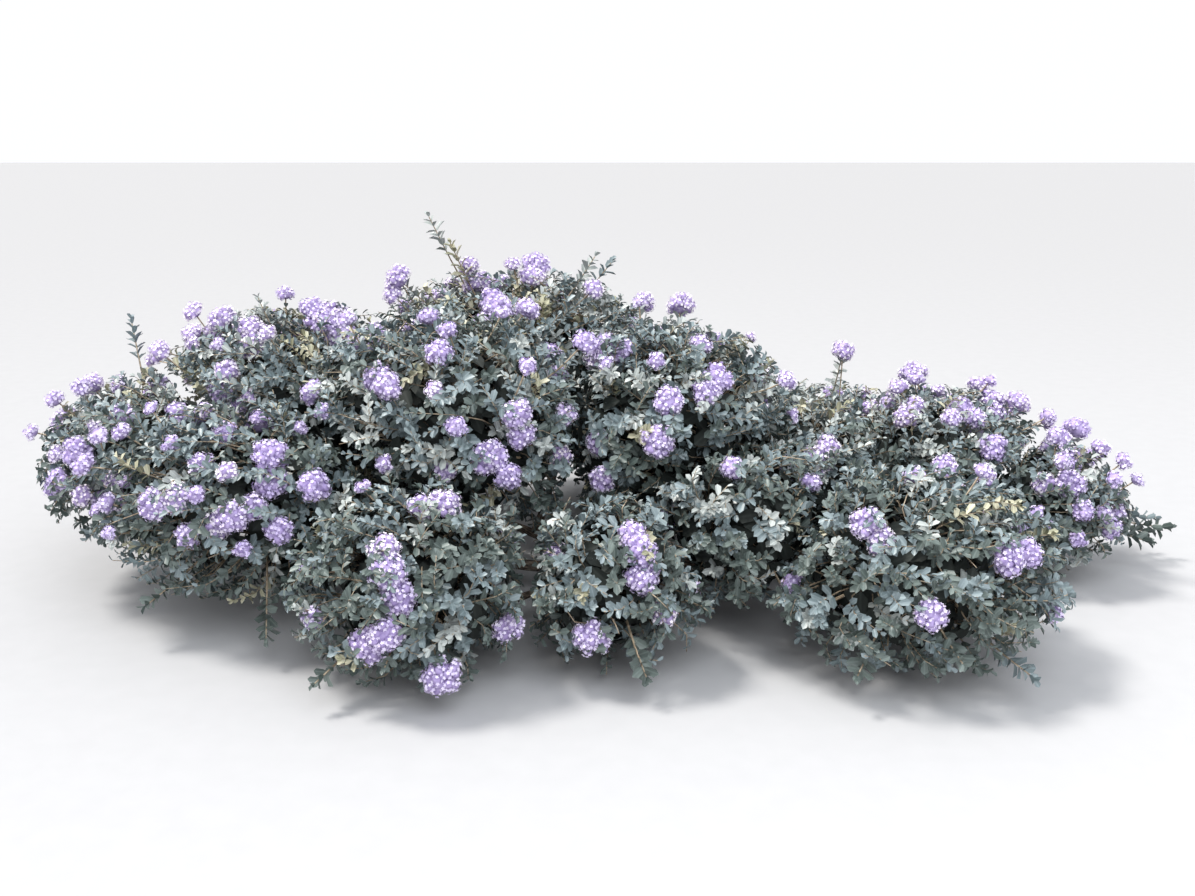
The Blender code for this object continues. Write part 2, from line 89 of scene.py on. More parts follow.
MASSES = {
    "left_tip": Mass((-0.665, 0.08, 0.19), (0.155, 0.20, 0.13), "stem", 0.52, 0.0095, 0.050, 2, 28),
    "left_front": Mass((-0.46, -0.07, 0.175), (0.235, 0.18, 0.14), "left_tip", 0.30, 0.0065, 0.065, 1, 20),
    "left_shoulder": Mass((-0.46, 0.20, 0.245), (0.24, 0.235, 0.16), "left_tip", 0.42, 0.0065, 0.095, 2, 32),
    "left_back": Mass((-0.42, 0.46, 0.155), (0.26, 0.20, 0.155), "stem", 0.70, 0.0085, 0.060, 5, 16),
    "front_left": Mass((-0.23, -0.24, 0.12), (0.16, 0.17, 0.13), "stem", 0.38, 0.0080, 0.045, 1, 5),
    "crown_left": Mass((-0.21, 0.01, 0.26), (0.24, 0.215, 0.165), "stem", 0.80, 0.0078, 0.100, 1, 22),
    "crown_back": Mass((-0.14, 0.30, 0.28), (0.255, 0.23, 0.17), "left_back", 0.30, 0.0070, 0.120, 2, 24),
    "crown_right": Mass((0.095, 0.065, 0.245), (0.20, 0.21, 0.155), "stem", 0.84, 0.0080, 0.115, 1, 17),
    "back": Mass((0.08, 0.49, 0.165), (0.26, 0.20, 0.16), "stem", 0.56, 0.0085, 0.055, 5, 16),
    "saddle": Mass((0.33, 0.155, 0.145), (0.175, 0.22, 0.125), "right_tip", 0.28, 0.0060, 0.060, 1, 4),
    "right_back": Mass((0.40, 0.41, 0.115), (0.21, 0.18, 0.12), "back", 0.30, 0.0060, 0.050, 3, 12),
    "right_crown": Mass((0.55, 0.215, 0.14), (0.19, 0.20, 0.125), "right_tip", 0.72, 0.0060, 0.055, 2, 32),
    "right_front": Mass((0.40, -0.20, 0.12), (0.205, 0.20, 0.13), "right_tip", 0.25, 0.0065, 0.050, 1, 5),
    "right_tip": Mass((0.69, 0.12, 0.11), (0.13, 0.155, 0.10), "stem", 0.60, 0.0095, 0.042, 2, 28),
    "front_middle": Mass((0.02, -0.225, 0.11), (0.13, 0.13, 0.11), "stem", 0.42, 0.0060, 0.032, 1, 4),
    "front_right": Mass((0.20, -0.11, 0.155), (0.15, 0.17, 0.12), "stem", 0.80, 0.0065, 0.075, 1, 3),
}
NAMES = list(MASSES)
CENTRES = np.array([mass.centre for mass in MASSES.values()])
HALVES = np.array([mass.half for mass in MASSES.values()])
FOLIAGE = [name + "_foliage" for name in NAMES]
BOUGHS = [name + "_bough" for name in NAMES]
print(len(MASSES), "masses")

# %% [markdown]
# Large trusses and long shoots
#
# Two things give this shrub its face: the large trusses of flowers, and the long shoots that stand out of
# the mound. Scattering them by chance would give some other shrub. So each truss has an azimuth from +X, an
# elevation and a number of heads, and each shoot has the place of its tip and a number of heads. The
# leaders are in the frame's solids too. The further shoots are only here, and make the outline ragged.

# %% Trusses and leaders
TRUSSES = {
    "left_tip": ((-95, -15, 2), (-115, 25, 1)),
    "left_front": ((-90, 10, 3), (-75, 45, 2), (-60, 25, 1), (-120, 15, 2)),
    "left_shoulder": ((-115, 35, 2), (-140, 65, 2), (-50, 75, 2)),
    "front_left": ((-95, 30, 3), (-95, -5, 2), (-25, 70, 2), (-25, -20, 1)),
    "crown_left": ((-110, 35, 2), (-60, 20, 2), (-65, -10, 2), (-90, 55, 1)),
    "crown_back": ((-95, 50, 2), (20, 80, 2), (-160, 75, 1)),
    "crown_right": ((-120, -15, 2), (-90, 30, 1), (-70, 35, 2), (-160, 60, 3), (-95, 10, 1)),
    "saddle": ((-95, 35, 2),),
    "right_crown": ((-45, 75, 2), (-140, 60, 2), (-70, 35, 1)),
    "right_front": ((-130, 50, 2), (-45, 30, 2), (-95, 5, 1)),
    "right_tip": ((-85, 40, 2),),
    "front_middle": ((-65, 45, 3), (-105, -20, 1)),
    "front_right": ((-110, -15, 1),),
}


class Leader(NamedTuple):
    mass: str
    tip: tuple
    heads: int


def shoots(*rows):
    """Long shoots, from rows of a mass with the tips of its shoots and their numbers of heads."""
    return tuple(Leader(mass, tuple(tip), count) for mass, *ends in rows for *tip, count in ends)


LEADERS = shoots(
    ("crown_back", (-0.270, 0.250, 0.545, 0), (-0.335, 0.250, 0.455, 2), (0.030, 0.300, 0.470, 0)),
    ("crown_back", (0.095, 0.290, 0.410, 1)),
    ("crown_right", (0.135, 0.220, 0.420, 1), (0.250, 0.060, 0.352, 0)),
    ("left_shoulder", (-0.590, 0.150, 0.405, 2)),
    ("left_tip", (-0.735, 0.200, 0.390, 0)),
    ("right_back", (0.425, 0.350, 0.325, 1)),
    ("right_tip", (0.925, 0.150, 0.052, 0)),
    ("left_front", (-0.600, -0.200, 0.060, 0)),
    ("front_left", (-0.175, -0.400, 0.045, 1)),
    ("crown_back", (-0.095, 0.270, 0.480, 2), (-0.215, 0.270, 0.478, 1)),
    ("left_shoulder", (-0.440, 0.170, 0.425, 2)),
    ("right_crown", (0.520, 0.280, 0.300, 1), (0.640, 0.270, 0.280, 2)),
    ("right_tip", (0.775, 0.190, 0.225, 1)),
)
FURTHER_SHOOTS = shoots(
    ("right_tip", (0.890, 0.125, 0.078, 0), (0.905, 0.175, 0.036, 0), (0.870, 0.090, 0.048, 0)),
    ("crown_right", (0.215, 0.120, 0.372, 0), (0.060, 0.150, 0.425, 0)),
    ("crown_back", (-0.235, 0.235, 0.505, 0), (0.000, 0.290, 0.478, 0)),
    ("left_shoulder", (-0.520, 0.150, 0.430, 0), (-0.650, 0.180, 0.375, 1)),
    ("left_tip", (-0.785, 0.120, 0.310, 1), (-0.820, 0.080, 0.255, 1)),
    ("right_crown", (0.700, 0.230, 0.255, 1)),
    ("front_left", (-0.335, -0.385, 0.040, 0)),
    ("right_front", (0.300, -0.385, 0.050, 0), (0.520, -0.370, 0.040, 0)),
    ("left_front", (-0.420, -0.262, 0.040, 0)),
    ("front_left", (-0.245, -0.405, 0.070, 0)),
    ("front_middle", (0.060, -0.370, 0.040, 0)),
    ("front_right", (0.270, -0.290, 0.060, 0)),
    ("right_front", (0.420, -0.405, 0.075, 0)),
)
print(sum(map(len, TRUSSES.values())), "trusses and", len(LEADERS + FURTHER_SHOOTS), "long shoots")

# %% [markdown]
# The course of every limb
#
# A bough is a curve that leaves its parent limb, is drawn towards a low knee, and turns up into its mass. A
# quadratic curve with one knee is enough, and it is easy to measure distances to. Both the bark and the
# space test below read their limbs from here.

# %% Courses
STEM_HEIGHT = 0.085
STEM_FOOT_RADIUS = 0.033
STEM_TOP_RADIUS = 0.019
STEM_FLARE_HEIGHT = 0.018
STEM_LEAN = Vector((0.006, 0.004, 0.0))
STEM_RINGS = 7
STEM_RING_POWER = 1.4
STEM_FOOT_SHARE = 1.12
STEM_TAPER = 0.12
STEM_FORK = Vector((STEM_LEAN.x, STEM_LEAN.y, STEM_HEIGHT))
BOUGH_RINGS = 6
BOUGH_TIP_RADIUS = 0.0042
BOUGH_KNEE = 0.55
BOUGH_START_SHARE = 0.45
BOUGH_TAPER_POWER = 0.8
ENTRY_DIP = math.radians(38)


def curve_points(start, knee, end, count):
    """Points on the quadratic curve from start to end that is drawn towards the knee."""
    steps = [i / count for i in range(count + 1)]
    return [(1 - t) ** 2 * start + 2 * t * (1 - t) * knee + t * t * end for t in steps]


def stem_course(rings):
    """The stem's centreline and radii: a root flare at the foot, then an even taper to the fork."""
    path, radii = [], []
    for i in range(rings + 1):
        share = (i / rings) ** STEM_RING_POWER
        flare = math.exp(-share * STEM_HEIGHT / STEM_FLARE_HEIGHT)
        trunk = STEM_TOP_RADIUS * (STEM_FOOT_SHARE - STEM_TAPER * share)
        path.append(Vector((0, 0, STEM_HEIGHT * share)) + STEM_LEAN * share**2)
        radii.append(trunk + (STEM_FOOT_RADIUS - STEM_TOP_RADIUS * STEM_FOOT_SHARE) * flare)
    return path, radii


def point_along(path, radii, share):
    """The point and radius at a share of the way along a limb."""
    place = share * (len(path) - 1)
    i = min(int(place), len(path) - 2)
    part = place - i
    return path[i].lerp(path[i + 1], part), radii[i] * (1 - part) + radii[i + 1] * part


def out_from(mass, direction, share):
    """The point at a share of the way out from the centre of a mass."""
    return Vector(c + d * h * share for c, d, h in zip(mass.centre, direction, mass.half))


def entry_point(mass):
    """Where a bough enters its mass: low on the stem's side, and lower still close to the stem."""
    inward = STEM_FORK - Vector(mass.centre)
    level = Vector((inward.x / mass.half[0], inward.y / mass.half[1], 0))
    dip = max(ENTRY_DIP, math.atan2(-inward.z / mass.half[2], level.length))
    direction = level.normalized() * math.cos(dip) - Vector((0, 0, math.sin(dip)))
    return out_from(mass, direction, 1.0)


def bough_radii(mass, rings):
    """A bough's radius at each ring, from its foot to its tip."""
    change = BOUGH_TIP_RADIUS - mass.foot
    return [mass.foot + change * (i / rings) ** BOUGH_TAPER_POWER for i in range(rings + 1)]


print("the stem forks at", tuple(STEM_FORK))

# %% Limbs
limbs = {"stem": stem_course(STEM_RINGS)}
bough_curves = {}
waiting = dict(MASSES)
while waiting:
    for name, mass in list(waiting.items()):
        if mass.limb not in limbs:
            continue
        start, radius = point_along(*limbs[mass.limb], mass.along)
        end = entry_point(mass)
        knee = start.lerp(end, BOUGH_KNEE)
        knee.z = mass.run
        start = start + (knee - start).normalized() * radius * BOUGH_START_SHARE
        bough_curves[name] = (start, knee, end)
        limbs[name] = (curve_points(start, knee, end, BOUGH_RINGS), bough_radii(mass, BOUGH_RINGS))
        del waiting[name]
print(len(limbs), "limbs, the longest", round(max((p[-1] - p[0]).length for p, _ in limbs.values()), 2), "m")

# %% [markdown]
# Keeping every leaf in its own space
#
# Leaves of two masses must not tangle, and none may cut a bough or the ground. A leaf could be tested
# against the meshes, but a formula is faster. A point belongs to the mass whose centre is nearest, measured
# in half sizes, with a small border between two masses. It also keeps clear of the limbs, the ground and
# the edge of the space that the plant may fill. NumPy tests many thousand points in one call.

# %% The space test
REACH = 1.06
FAR = 9.0
STEP = 0.02
BORDER = 0.03
GROUND_GAP = 0.006
LIMB_GAP = 0.004
NEARBY = 0.05
BOX_SPARE = 0.018
CROWN_MIDDLE = np.array([[0.0, 0.1, 0.25]])

BOX_LOW = np.array(cad_box[0]) - BOX_SPARE
BOX_HIGH = np.array(cad_box[1]) + BOX_SPARE
SEGMENT_STARTS = np.array([tuple(a) for path, _ in limbs.values() for a in path[:-1]])
SEGMENT_ENDS = np.array([tuple(b) for path, _ in limbs.values() for b in path[1:]])
SEGMENT_RADII = np.array([r for _, radii in limbs.values() for r in radii[:-1]])
SEGMENT_LOWS = np.minimum(SEGMENT_STARTS, SEGMENT_ENDS)
SEGMENT_HIGHS = np.maximum(SEGMENT_STARTS, SEGMENT_ENDS)


def depths(points):
    """How far out each point lies in each mass: 0 at its centre and 1 at the crown's surface."""
    return np.linalg.norm((points[:, None, :] - CENTRES) / HALVES, axis=2)


def limb_gaps(points):
    """The clear distance from each point to the nearest limb, among the limbs that pass near any of them."""
    low, high = points.min(axis=0) - NEARBY, points.max(axis=0) + NEARBY
    near = ((SEGMENT_LOWS < high) & (SEGMENT_HIGHS > low)).all(axis=1)
    starts, along = SEGMENT_STARTS[near], (SEGMENT_ENDS - SEGMENT_STARTS)[near]
    offset = points[:, None, :] - starts
    share = np.clip((offset * along).sum(axis=2) / (along**2).sum(axis=1), 0, 1)
    gaps = np.linalg.norm(offset - along * share[:, :, None], axis=2) - SEGMENT_RADII[near]
    return gaps.min(axis=1, initial=FAR)


def in_the_clear(points, fits):
    """Of the points that fit so far, those above the ground, near the frame's box and off the limbs."""
    fits &= (points[:, 2] > GROUND_GAP) & (points > BOX_LOW).all(axis=1) & (points < BOX_HIGH).all(axis=1)
    if fits.any():
        fits[fits] = limb_gaps(points[fits]) > LIMB_GAP
    return fits


def holds(points, index, reach=REACH):
    """Which points lie in a mass's own space, as far out as reach."""
    out = depths(points)
    own = out[:, index].copy()
    out[:, index] = np.inf
    return in_the_clear(points, (own <= reach) & (out.min(axis=1) >= own + BORDER))


def is_open(points, index):
    """Which points lie outside the spaces of all the other masses."""
    out = depths(points)
    out[:, index] = np.inf
    return in_the_clear(points, out.min(axis=1) >= REACH + BORDER)


def whole(points, index, fits):
    """Which rows of points fit with every point."""
    return fits(points.reshape(-1, 3), index).reshape(len(points), -1).all(axis=1)


def rooms(directions, index, most):
    """How far out each direction runs before it leaves the space, as a share of the way to the surface."""
    shares = np.arange(1, round(most / STEP) + 1) * STEP
    points = CENTRES[index] + directions[:, None, :] * HALVES[index] * shares[:, None]
    inside = holds(points.reshape(-1, 3), index, FAR).reshape(len(directions), -1)
    return np.cumprod(inside, axis=1).sum(axis=1) * STEP


print("the crown's middle lies in", NAMES[depths(CROWN_MIDDLE).argmin()])

# %% [markdown]
# Directions and frames for many things at once
#
# Evenly spread directions come from a spiral over the ball, which has no clumps at its poles. A leaf is
# turned by three directions: along it, across it and out of its face. With arrays, thousands of leaves get
# theirs in one line. All chance comes from one seeded source, so that the shrub grows the same way each
# time.

# %% Array helpers
SEED = 7
LEAST_LENGTH = 1e-12
UP = np.array([0.0, 0.0, 1.0])
GOLDEN_TURN = math.pi * (3 - math.sqrt(5))
draw = np.random.default_rng(SEED)


def sphere_directions(count):
    """Directions spread evenly over the unit sphere."""
    i = np.arange(count)
    height = 1 - 2 * (i + 0.5) / count
    ring = np.sqrt(1 - height**2)
    return np.stack((ring * np.cos(GOLDEN_TURN * i), ring * np.sin(GOLDEN_TURN * i), height), axis=1)


def direction_at(azimuth, elevation):
    """The unit direction at an azimuth from +X and an elevation, both in degrees."""
    turn, rise = math.radians(azimuth), math.radians(elevation)
    return np.array((math.cos(rise) * math.cos(turn), math.cos(rise) * math.sin(turn), math.sin(rise)))


def spread_out(points, taken, count):
    """A number of the points, each as far as can be from the ones before it and from those taken."""
    chosen = list(taken) or [points[0]]
    while len(chosen) < len(taken) + min(count, len(points)):
        gaps = np.linalg.norm(points[:, None, :] - np.array(chosen), axis=2).min(axis=1)
        chosen.append(points[gaps.argmax()])
    return chosen[len(taken):]


def unit(vectors):
    """The vectors at length 1."""
    return vectors / np.maximum(np.linalg.norm(vectors, axis=-1, keepdims=True), LEAST_LENGTH)


def square_to(vectors, axes):
    """The part of the vectors that is square to the axes, at length 1."""
    return unit(vectors - axes * (vectors * axes).sum(axis=-1, keepdims=True))


def axes_of(along, face):
    """The three axes of things that point along one way and face another."""
    return np.stack((along, np.cross(face, along), face), axis=-2)


def scattered(*counts):
    """Random directions."""
    return unit(draw.normal(size=(*counts, 3)))


def turned(sides, axes, angles):
    """The sides, turned about their axes by the angles."""
    return sides * np.cos(angles)[..., None] + np.cross(axes, sides) * np.sin(angles)[..., None]


def along_curves(curves, t):
    """The points and headings of quadratic curves at the shares t, one row of shares for each curve."""
    roots, knees, tips = (part[:, None, :] for part in curves)
    t = np.broadcast_to(t, (len(roots), np.shape(t)[-1]))[..., None]
    points = (1 - t) ** 2 * roots + 2 * t * (1 - t) * knees + t**2 * tips
    return points, unit(2 * (1 - t) * (knees - roots) + 2 * t * (tips - knees))


print("the spiral turns", round(math.degrees(GOLDEN_TURN), 1), "degrees a step")

# %% [markdown]
# From arrays to a piece
#
# A shape that is repeated is modelled once, as a small mesh with bmesh operators. Arrays then hold where
# each copy goes. One function joins the copies into one mesh object: it repeats the faces with an offset
# for each copy, and keeps the small mesh's own flat coordinates as a UV map and a random tint for each
# copy. A mesh of more than 200,000 triangles is hard to handle, so a long row of copies is cut into several
# pieces.

# %% The joiner
MOST_TRIANGLES = 190_000
FLAT_MIDDLE = 0.5
triangles_made = 0


class Stamp:
    """A small mesh of triangles that is copied many times."""

    def __init__(self, bm):
        bmesh.ops.triangulate(bm, faces=bm.faces)
        bm.verts.ensure_lookup_table()
        bm.verts.index_update()
        self.points = np.array([vertex.co[:] for vertex in bm.verts])
        self.faces = np.array([[vertex.index for vertex in face.verts] for face in bm.faces])
        bm.free()


def add_object(name, data):
    """A new object in the scene."""
    made = bpy.data.objects.new(name, data)
    bpy.context.scene.collection.objects.link(made)
    return made


def add_piece(name, mesh, finish, replaced):
    """An object for a mesh, which rides on the plant and stands for nodes of the frame."""
    global triangles_made
    mesh.shade_smooth()
    mesh.materials.append(finish)
    piece = add_object(name, mesh)
    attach(piece, "root")
    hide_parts(*replaced)
    count = sum(len(polygon.vertices) - 2 for polygon in mesh.polygons)
    triangles_made += count
    print(f"{name}: {count} triangles")


def mesh_from(bm, name):
    """A mesh with what a bmesh holds."""
    mesh = bpy.data.meshes.new(name)
    bm.to_mesh(mesh)
    bm.free()
    return mesh


def mesh_of_copies(name, stamp, points, tints):
    """One mesh from the points of every copy of a stamp, an array of copies by points by three."""
    copies, step, _ = points.shape
    faces = (stamp.faces[None] + (np.arange(copies) * step)[:, None, None]).reshape(-1, 3)
    mesh = bpy.data.meshes.new(name)
    mesh.vertices.add(copies * step)
    mesh.vertices.foreach_set("co", points.astype(np.float32).ravel())
    mesh.loops.add(faces.size)
    mesh.loops.foreach_set("vertex_index", faces.astype(np.int32).ravel())
    mesh.polygons.add(len(faces))
    mesh.polygons.foreach_set("loop_start", np.arange(0, faces.size, 3, dtype=np.int32))
    mesh.update(calc_edges=True)
    flat = np.tile(stamp.points[:, :2] + (0.0, FLAT_MIDDLE), (copies, 1))
    layer = mesh.uv_layers.new(name="flat")
    layer.uv.foreach_set("vector", flat[faces.ravel()].astype(np.float32).ravel())
    attribute = mesh.attributes.new("tint", "FLOAT", "POINT")
    attribute.data.foreach_set("value", np.repeat(tints, step).astype(np.float32))
    return mesh


def add_copies(name, stamp, points, finish):
    """Pieces that hold every copy of a stamp, each under the limit of triangles."""
    pieces = math.ceil(len(points) * len(stamp.faces) / MOST_TRIANGLES)
    tints = draw.random(len(points))
    for k, rows in enumerate(np.array_split(np.arange(len(points)), pieces)):
        piece_name = f"{name}_{k + 1}" if pieces > 1 else name
        mesh = mesh_of_copies(piece_name, stamp, points[rows], tints[rows])
        add_piece(piece_name, mesh, finish, FOLIAGE)


def placed(stamp, origins, axes, sizes):
    """The points of a stamp at each origin, turned to three axes and scaled."""
    return origins[:, None, :] + np.einsum("pk,nkc->npc", stamp.points, axes) * sizes[:, None, None]


print("pieces of at most", MOST_TRIANGLES, "triangles")

# %% [markdown]
# Writing a material like a formula
#
# A node tree is hard to read in code when every link has its own line. Here a small class wraps a socket,
# so that plus, minus and times add the Math nodes, and one method adds any other node. What is the same all
# over a surface, such as the roughness, is set on the shader's own socket.

# %% The material writer
def maths(operation, swapped=False):
    """An operator that adds a Math node, with the two sides of the sign swapped for a reflected form."""

    def operator(self, other=0.0):
        sides = (other, self) if swapped else (self, other)
        return self.finish.node("ShaderNodeMath", {"operation": operation}, sides)

    return operator


class Number:
    """A socket that holds a value. Arithmetic on it adds Math nodes."""

    def __init__(self, finish, socket):
        self.finish = finish
        self.socket = socket

    __add__ = __radd__ = maths("ADD")
    __sub__ = maths("SUBTRACT")
    __rsub__ = maths("SUBTRACT", swapped=True)
    __mul__ = __rmul__ = maths("MULTIPLY")
    __abs__ = maths("ABSOLUTE")

    def clamped(self):
        """The value, kept from 0 to 1."""
        return self.finish.node("ShaderNodeClamp", {}, (self,))


print("arithmetic on a Number adds Math nodes")

# %% Finishes
MIX_SHARE = 0
MIX_COLOURS = (6, 7)
MIX_RESULT = 2


class Finish:
    """A material on its way. Its nodes feed the sockets of one Principled shader."""

    def __init__(self, name, roughness):
        self.material = bpy.data.materials.new(name)
        self.material.use_nodes = True
        self.tree = self.material.node_tree
        self.shader = self.tree.nodes["Principled BSDF"]
        self.shader.inputs["Roughness"].default_value = roughness

    def fill(self, socket, value):
        """Links a socket or sets its value."""
        if isinstance(value, Number):
            self.tree.links.new(value.socket, socket)
        else:
            socket.default_value = value

    def node(self, kind, settings, inputs, output=0):
        """Adds a node: its settings first, then the values or links of its sockets."""
        made = self.tree.nodes.new(kind)
        for key, value in settings.items():
            setattr(made, key, value)
        for key, value in inputs.items() if isinstance(inputs, dict) else enumerate(inputs):
            self.fill(made.inputs[key], value)
        return Number(self, made.outputs[output])

    def mix(self, share, first, second):
        """A colour between two colours."""
        colours = [c if isinstance(c, Number) else (*c, 1.0) for c in (first, second)]
        inputs = {MIX_SHARE: share, **dict(zip(MIX_COLOURS, colours))}
        return self.node("ShaderNodeMix", {"data_type": "RGBA"}, inputs, MIX_RESULT)

    def noise(self, scale, detail=3.0, place=None):
        """Noise from 0 to 1, over the object's own coordinates unless another place is given."""
        place = place or self.node("ShaderNodeTexCoord", {}, (), "Object")
        inputs = {"Vector": place, "Scale": scale, "Detail": detail}
        return self.node("ShaderNodeTexNoise", {}, inputs, "Fac")

    def attribute(self, name, output="Fac"):
        return self.node("ShaderNodeAttribute", {"attribute_name": name}, (), output)

    def flat(self, axis):
        """One of the flat coordinates that every copy of a stamp carries."""
        uv = self.node("ShaderNodeUVMap", {"uv_map": "flat"}, ())
        return self.node("ShaderNodeSeparateXYZ", {}, (uv,), axis)

    def bump(self, height, strength, distance):
        inputs = {"Height": height, "Strength": strength, "Distance": distance}
        return self.node("ShaderNodeBump", {}, inputs)

    def done(self, colour, normal):
        """The finished material, with its colour and its normal linked."""
        self.fill(self.shader.inputs["Base Color"], colour)
        self.fill(self.shader.inputs["Normal"], normal)
        return self.material


print("a Finish links its nodes to one Principled shader")

# %% [markdown]
# Leaf finishes
#
# The leaves are waxy, blue-green with a grey bloom, and paler below. One green for all would look like
# plastic, and a picture of a leaf isn't needed at this size. Each spray gets one of a few plain greens. Some
# of them are painted light: the pale green is partly painted sheen and sunlight, the olive and cream is
# mostly painted sunlight, and the near-black inner green is painted shade. Inside the spray a leaf is a
# little lighter or darker by its tint, and a pale rib runs down its middle.

# %% Leaf finishes
RIB_SHARPNESS = 14.0
RIB_SHARE = 0.35
RIB_GAIN = 1.5
RIB_LIFT = 0.03
TINT_SHARE = 0.8
MOTTLE_SHARE = 0.5
BLADE_SHIFT = 0.15


def leaf_finish(name, dark, light, roughness):
    """A leaf's two greens, mixed by its tint and fine mottling, and a paler rib."""
    finish = Finish(name, roughness)
    rib = (1 - abs(finish.flat("Y") - FLAT_MIDDLE) * RIB_SHARPNESS).clamped() * RIB_SHARE
    mottle = finish.noise(scale=260.0) * MOTTLE_SHARE
    share = (finish.attribute("tint") * TINT_SHARE + mottle - BLADE_SHIFT).clamped()
    blade = finish.mix(share, dark, light)
    rib_colour = tuple(c * RIB_GAIN + RIB_LIFT for c in light)
    bloom = finish.noise(scale=900.0, detail=2.0)
    normal = finish.bump(bloom - rib, strength=0.25, distance=0.0006)
    return finish.done(finish.mix(rib, blade, rib_colour), normal)


LEAF_FINISHES = {
    "deep": leaf_finish("deep_leaf", (0.050, 0.070, 0.063), (0.138, 0.172, 0.160), 0.42),
    "grey": leaf_finish("grey_leaf", (0.108, 0.146, 0.155), (0.224, 0.276, 0.292), 0.38),
    # Pale grey-green: partly the paler underside, partly painted sheen, and high up and far back painted
    # sunlight.
    "pale": leaf_finish("pale_leaf", (0.235, 0.265, 0.260), (0.430, 0.458, 0.442), 0.34),
    # Olive and cream: a few young leaves anywhere, and painted sunlight where it is dealt into the sunny
    # spots.
    "young_and_sunlit": leaf_finish("young_and_sunlit_leaf", (0.225, 0.225, 0.140), (0.500, 0.480, 0.355), 0.42),
    # Near-black: painted shade, for the lining of shaded old leaves deep in the crown.
    "inner": leaf_finish("inner_painted_shade_leaf", (0.007, 0.011, 0.009), (0.018, 0.025, 0.021), 0.75),
}
TONES = list(LEAF_FINISHES)
print(len(TONES), "leaf finishes")

# %% [markdown]
# Wood finishes
#
# Old wood is grey-brown with shallow cracks along the limb, and young twigs are smooth and tan. A pattern
# that follows a bent limb can't come from a plain grid in space. So every point of a limb carries a place
# on a straight limb of the same girth, and the cracks are noise that is stretched along it.

# %% Wood finishes
CRACK_COLOUR = (0.050, 0.036, 0.027)
BARK_COLOUR = (0.240, 0.185, 0.140)
LICHEN_COLOUR = (0.300, 0.310, 0.270)
LICHEN_SHARE = 0.55


def steeper(pattern, start, gain):
    """A pattern that is 0 up to its start and then rises faster, up to 1."""
    return ((pattern - start) * gain).clamped()


def bark_finish():
    """Grey-brown bark with dark cracks and a few patches of lichen."""
    finish = Finish("old_bark", roughness=0.88)
    cracks = finish.noise(scale=420.0, detail=6.0, place=finish.attribute("straight", "Vector"))
    patches = finish.noise(scale=55.0, detail=4.0)
    wood = finish.mix(steeper(cracks, start=0.42, gain=5.0), CRACK_COLOUR, BARK_COLOUR)
    lichen = steeper(patches, start=0.58, gain=6.0) * LICHEN_SHARE
    normal = finish.bump(cracks, strength=0.9, distance=0.0015)
    return finish.done(finish.mix(lichen, wood, LICHEN_COLOUR), normal)


def twig_finish(name, dark, light):
    """A finely grained skin in soft patches of two colours."""
    finish = Finish(name, roughness=0.62)
    patches = finish.noise(scale=140.0)
    grain = finish.noise(scale=700.0)
    colour = finish.mix(steeper(patches, start=0.3, gain=2.4), dark, light)
    return finish.done(colour, finish.bump(grain, strength=0.35, distance=0.0005))


old_bark = bark_finish()
branch_bark = twig_finish("branch_bark", (0.085, 0.062, 0.046), (0.240, 0.180, 0.130))
twig_bark = twig_finish("twig_bark", (0.230, 0.165, 0.110), (0.480, 0.400, 0.290))
print(old_bark.name, branch_bark.name, twig_bark.name)

# %% [markdown]
# Flower finishes
#
# A head looks lilac from a step away, but close to it holds three tones: pale petals, a purer lilac towards
# the middle of each flower, and a violet dark between the flowers. That violet dark is painted shade. So
# petals mix two colours from the middle out, and what fills a head behind its flowers has a darker finish of
# its own, the painted shade. A few heads anywhere have paler petals, and heads in the sun at the back and on
# the left edge are drawn nearly white as painted sunlight, so each head gets one of three petal finishes.

# %% Flower finishes
PETAL_FADE = 3.4
PETAL_TINT = 0.5
PETAL_GRAIN = 0.4
PETAL_SHIFT = 0.3


def petal_finish(name, deep, light):
    """Petals that are deep in the middle of a flower and light at its edge."""
    finish = Finish(name, roughness=0.60)
    x = finish.flat("X")
    y = finish.flat("Y") - FLAT_MIDDLE
    spread = (x * x + y * y) * PETAL_FADE
    grain = finish.noise(scale=500.0)
    share = (spread + finish.attribute("tint") * PETAL_TINT + grain * PETAL_GRAIN - PETAL_SHIFT).clamped()
    return finish.done(finish.mix(share, deep, light), finish.bump(grain, strength=0.2, distance=0.0004))


PETAL_FINISHES = {
    "lilac": petal_finish("lilac_petal", (0.680, 0.580, 0.840), (0.910, 0.860, 0.970)),
    "violet": petal_finish("violet_petal", (0.580, 0.480, 0.790), (0.850, 0.770, 0.950)),
    # Nearly white petals: a few heads anywhere, and painted sunlight on heads at the back and on the left
    # edge.
    "pale": petal_finish("pale_petal", (0.800, 0.710, 0.840), (0.950, 0.920, 0.960)),
}
# Darker violet: painted shade between the flowers, on the hearts and the lumps behind them.
heart_finish = twig_finish("head_heart", (0.270, 0.200, 0.410), (0.520, 0.420, 0.700))
print(len(PETAL_FINISHES), "petal finishes")

# %% [markdown]
# Bark on the stem and boughs
#
# A limb is a tapering tube with a skin that is never smooth. It could be a curve with a bevel, but then the
# bark would be only a picture. Here a circle is extruded ring by ring along the course, and each point is
# then moved in or out by noise that is stretched along the limb. That gives ridges, a swelling where a
# bough leaves its parent, and lobes where the roots begin.

# %% Limb builder
RIDGE = 0.09
RIDGE_SCALE = 260.0
RIDGE_NOISE = (1.0, 2.0, 3)
STRETCH = 0.22
LEAST_GIRTH = 0.004
COLLAR = 0.30
COLLAR_LENGTH = 0.012
ROOT_LOBES = 5
ROOT_LOBE_DEPTH = 0.10


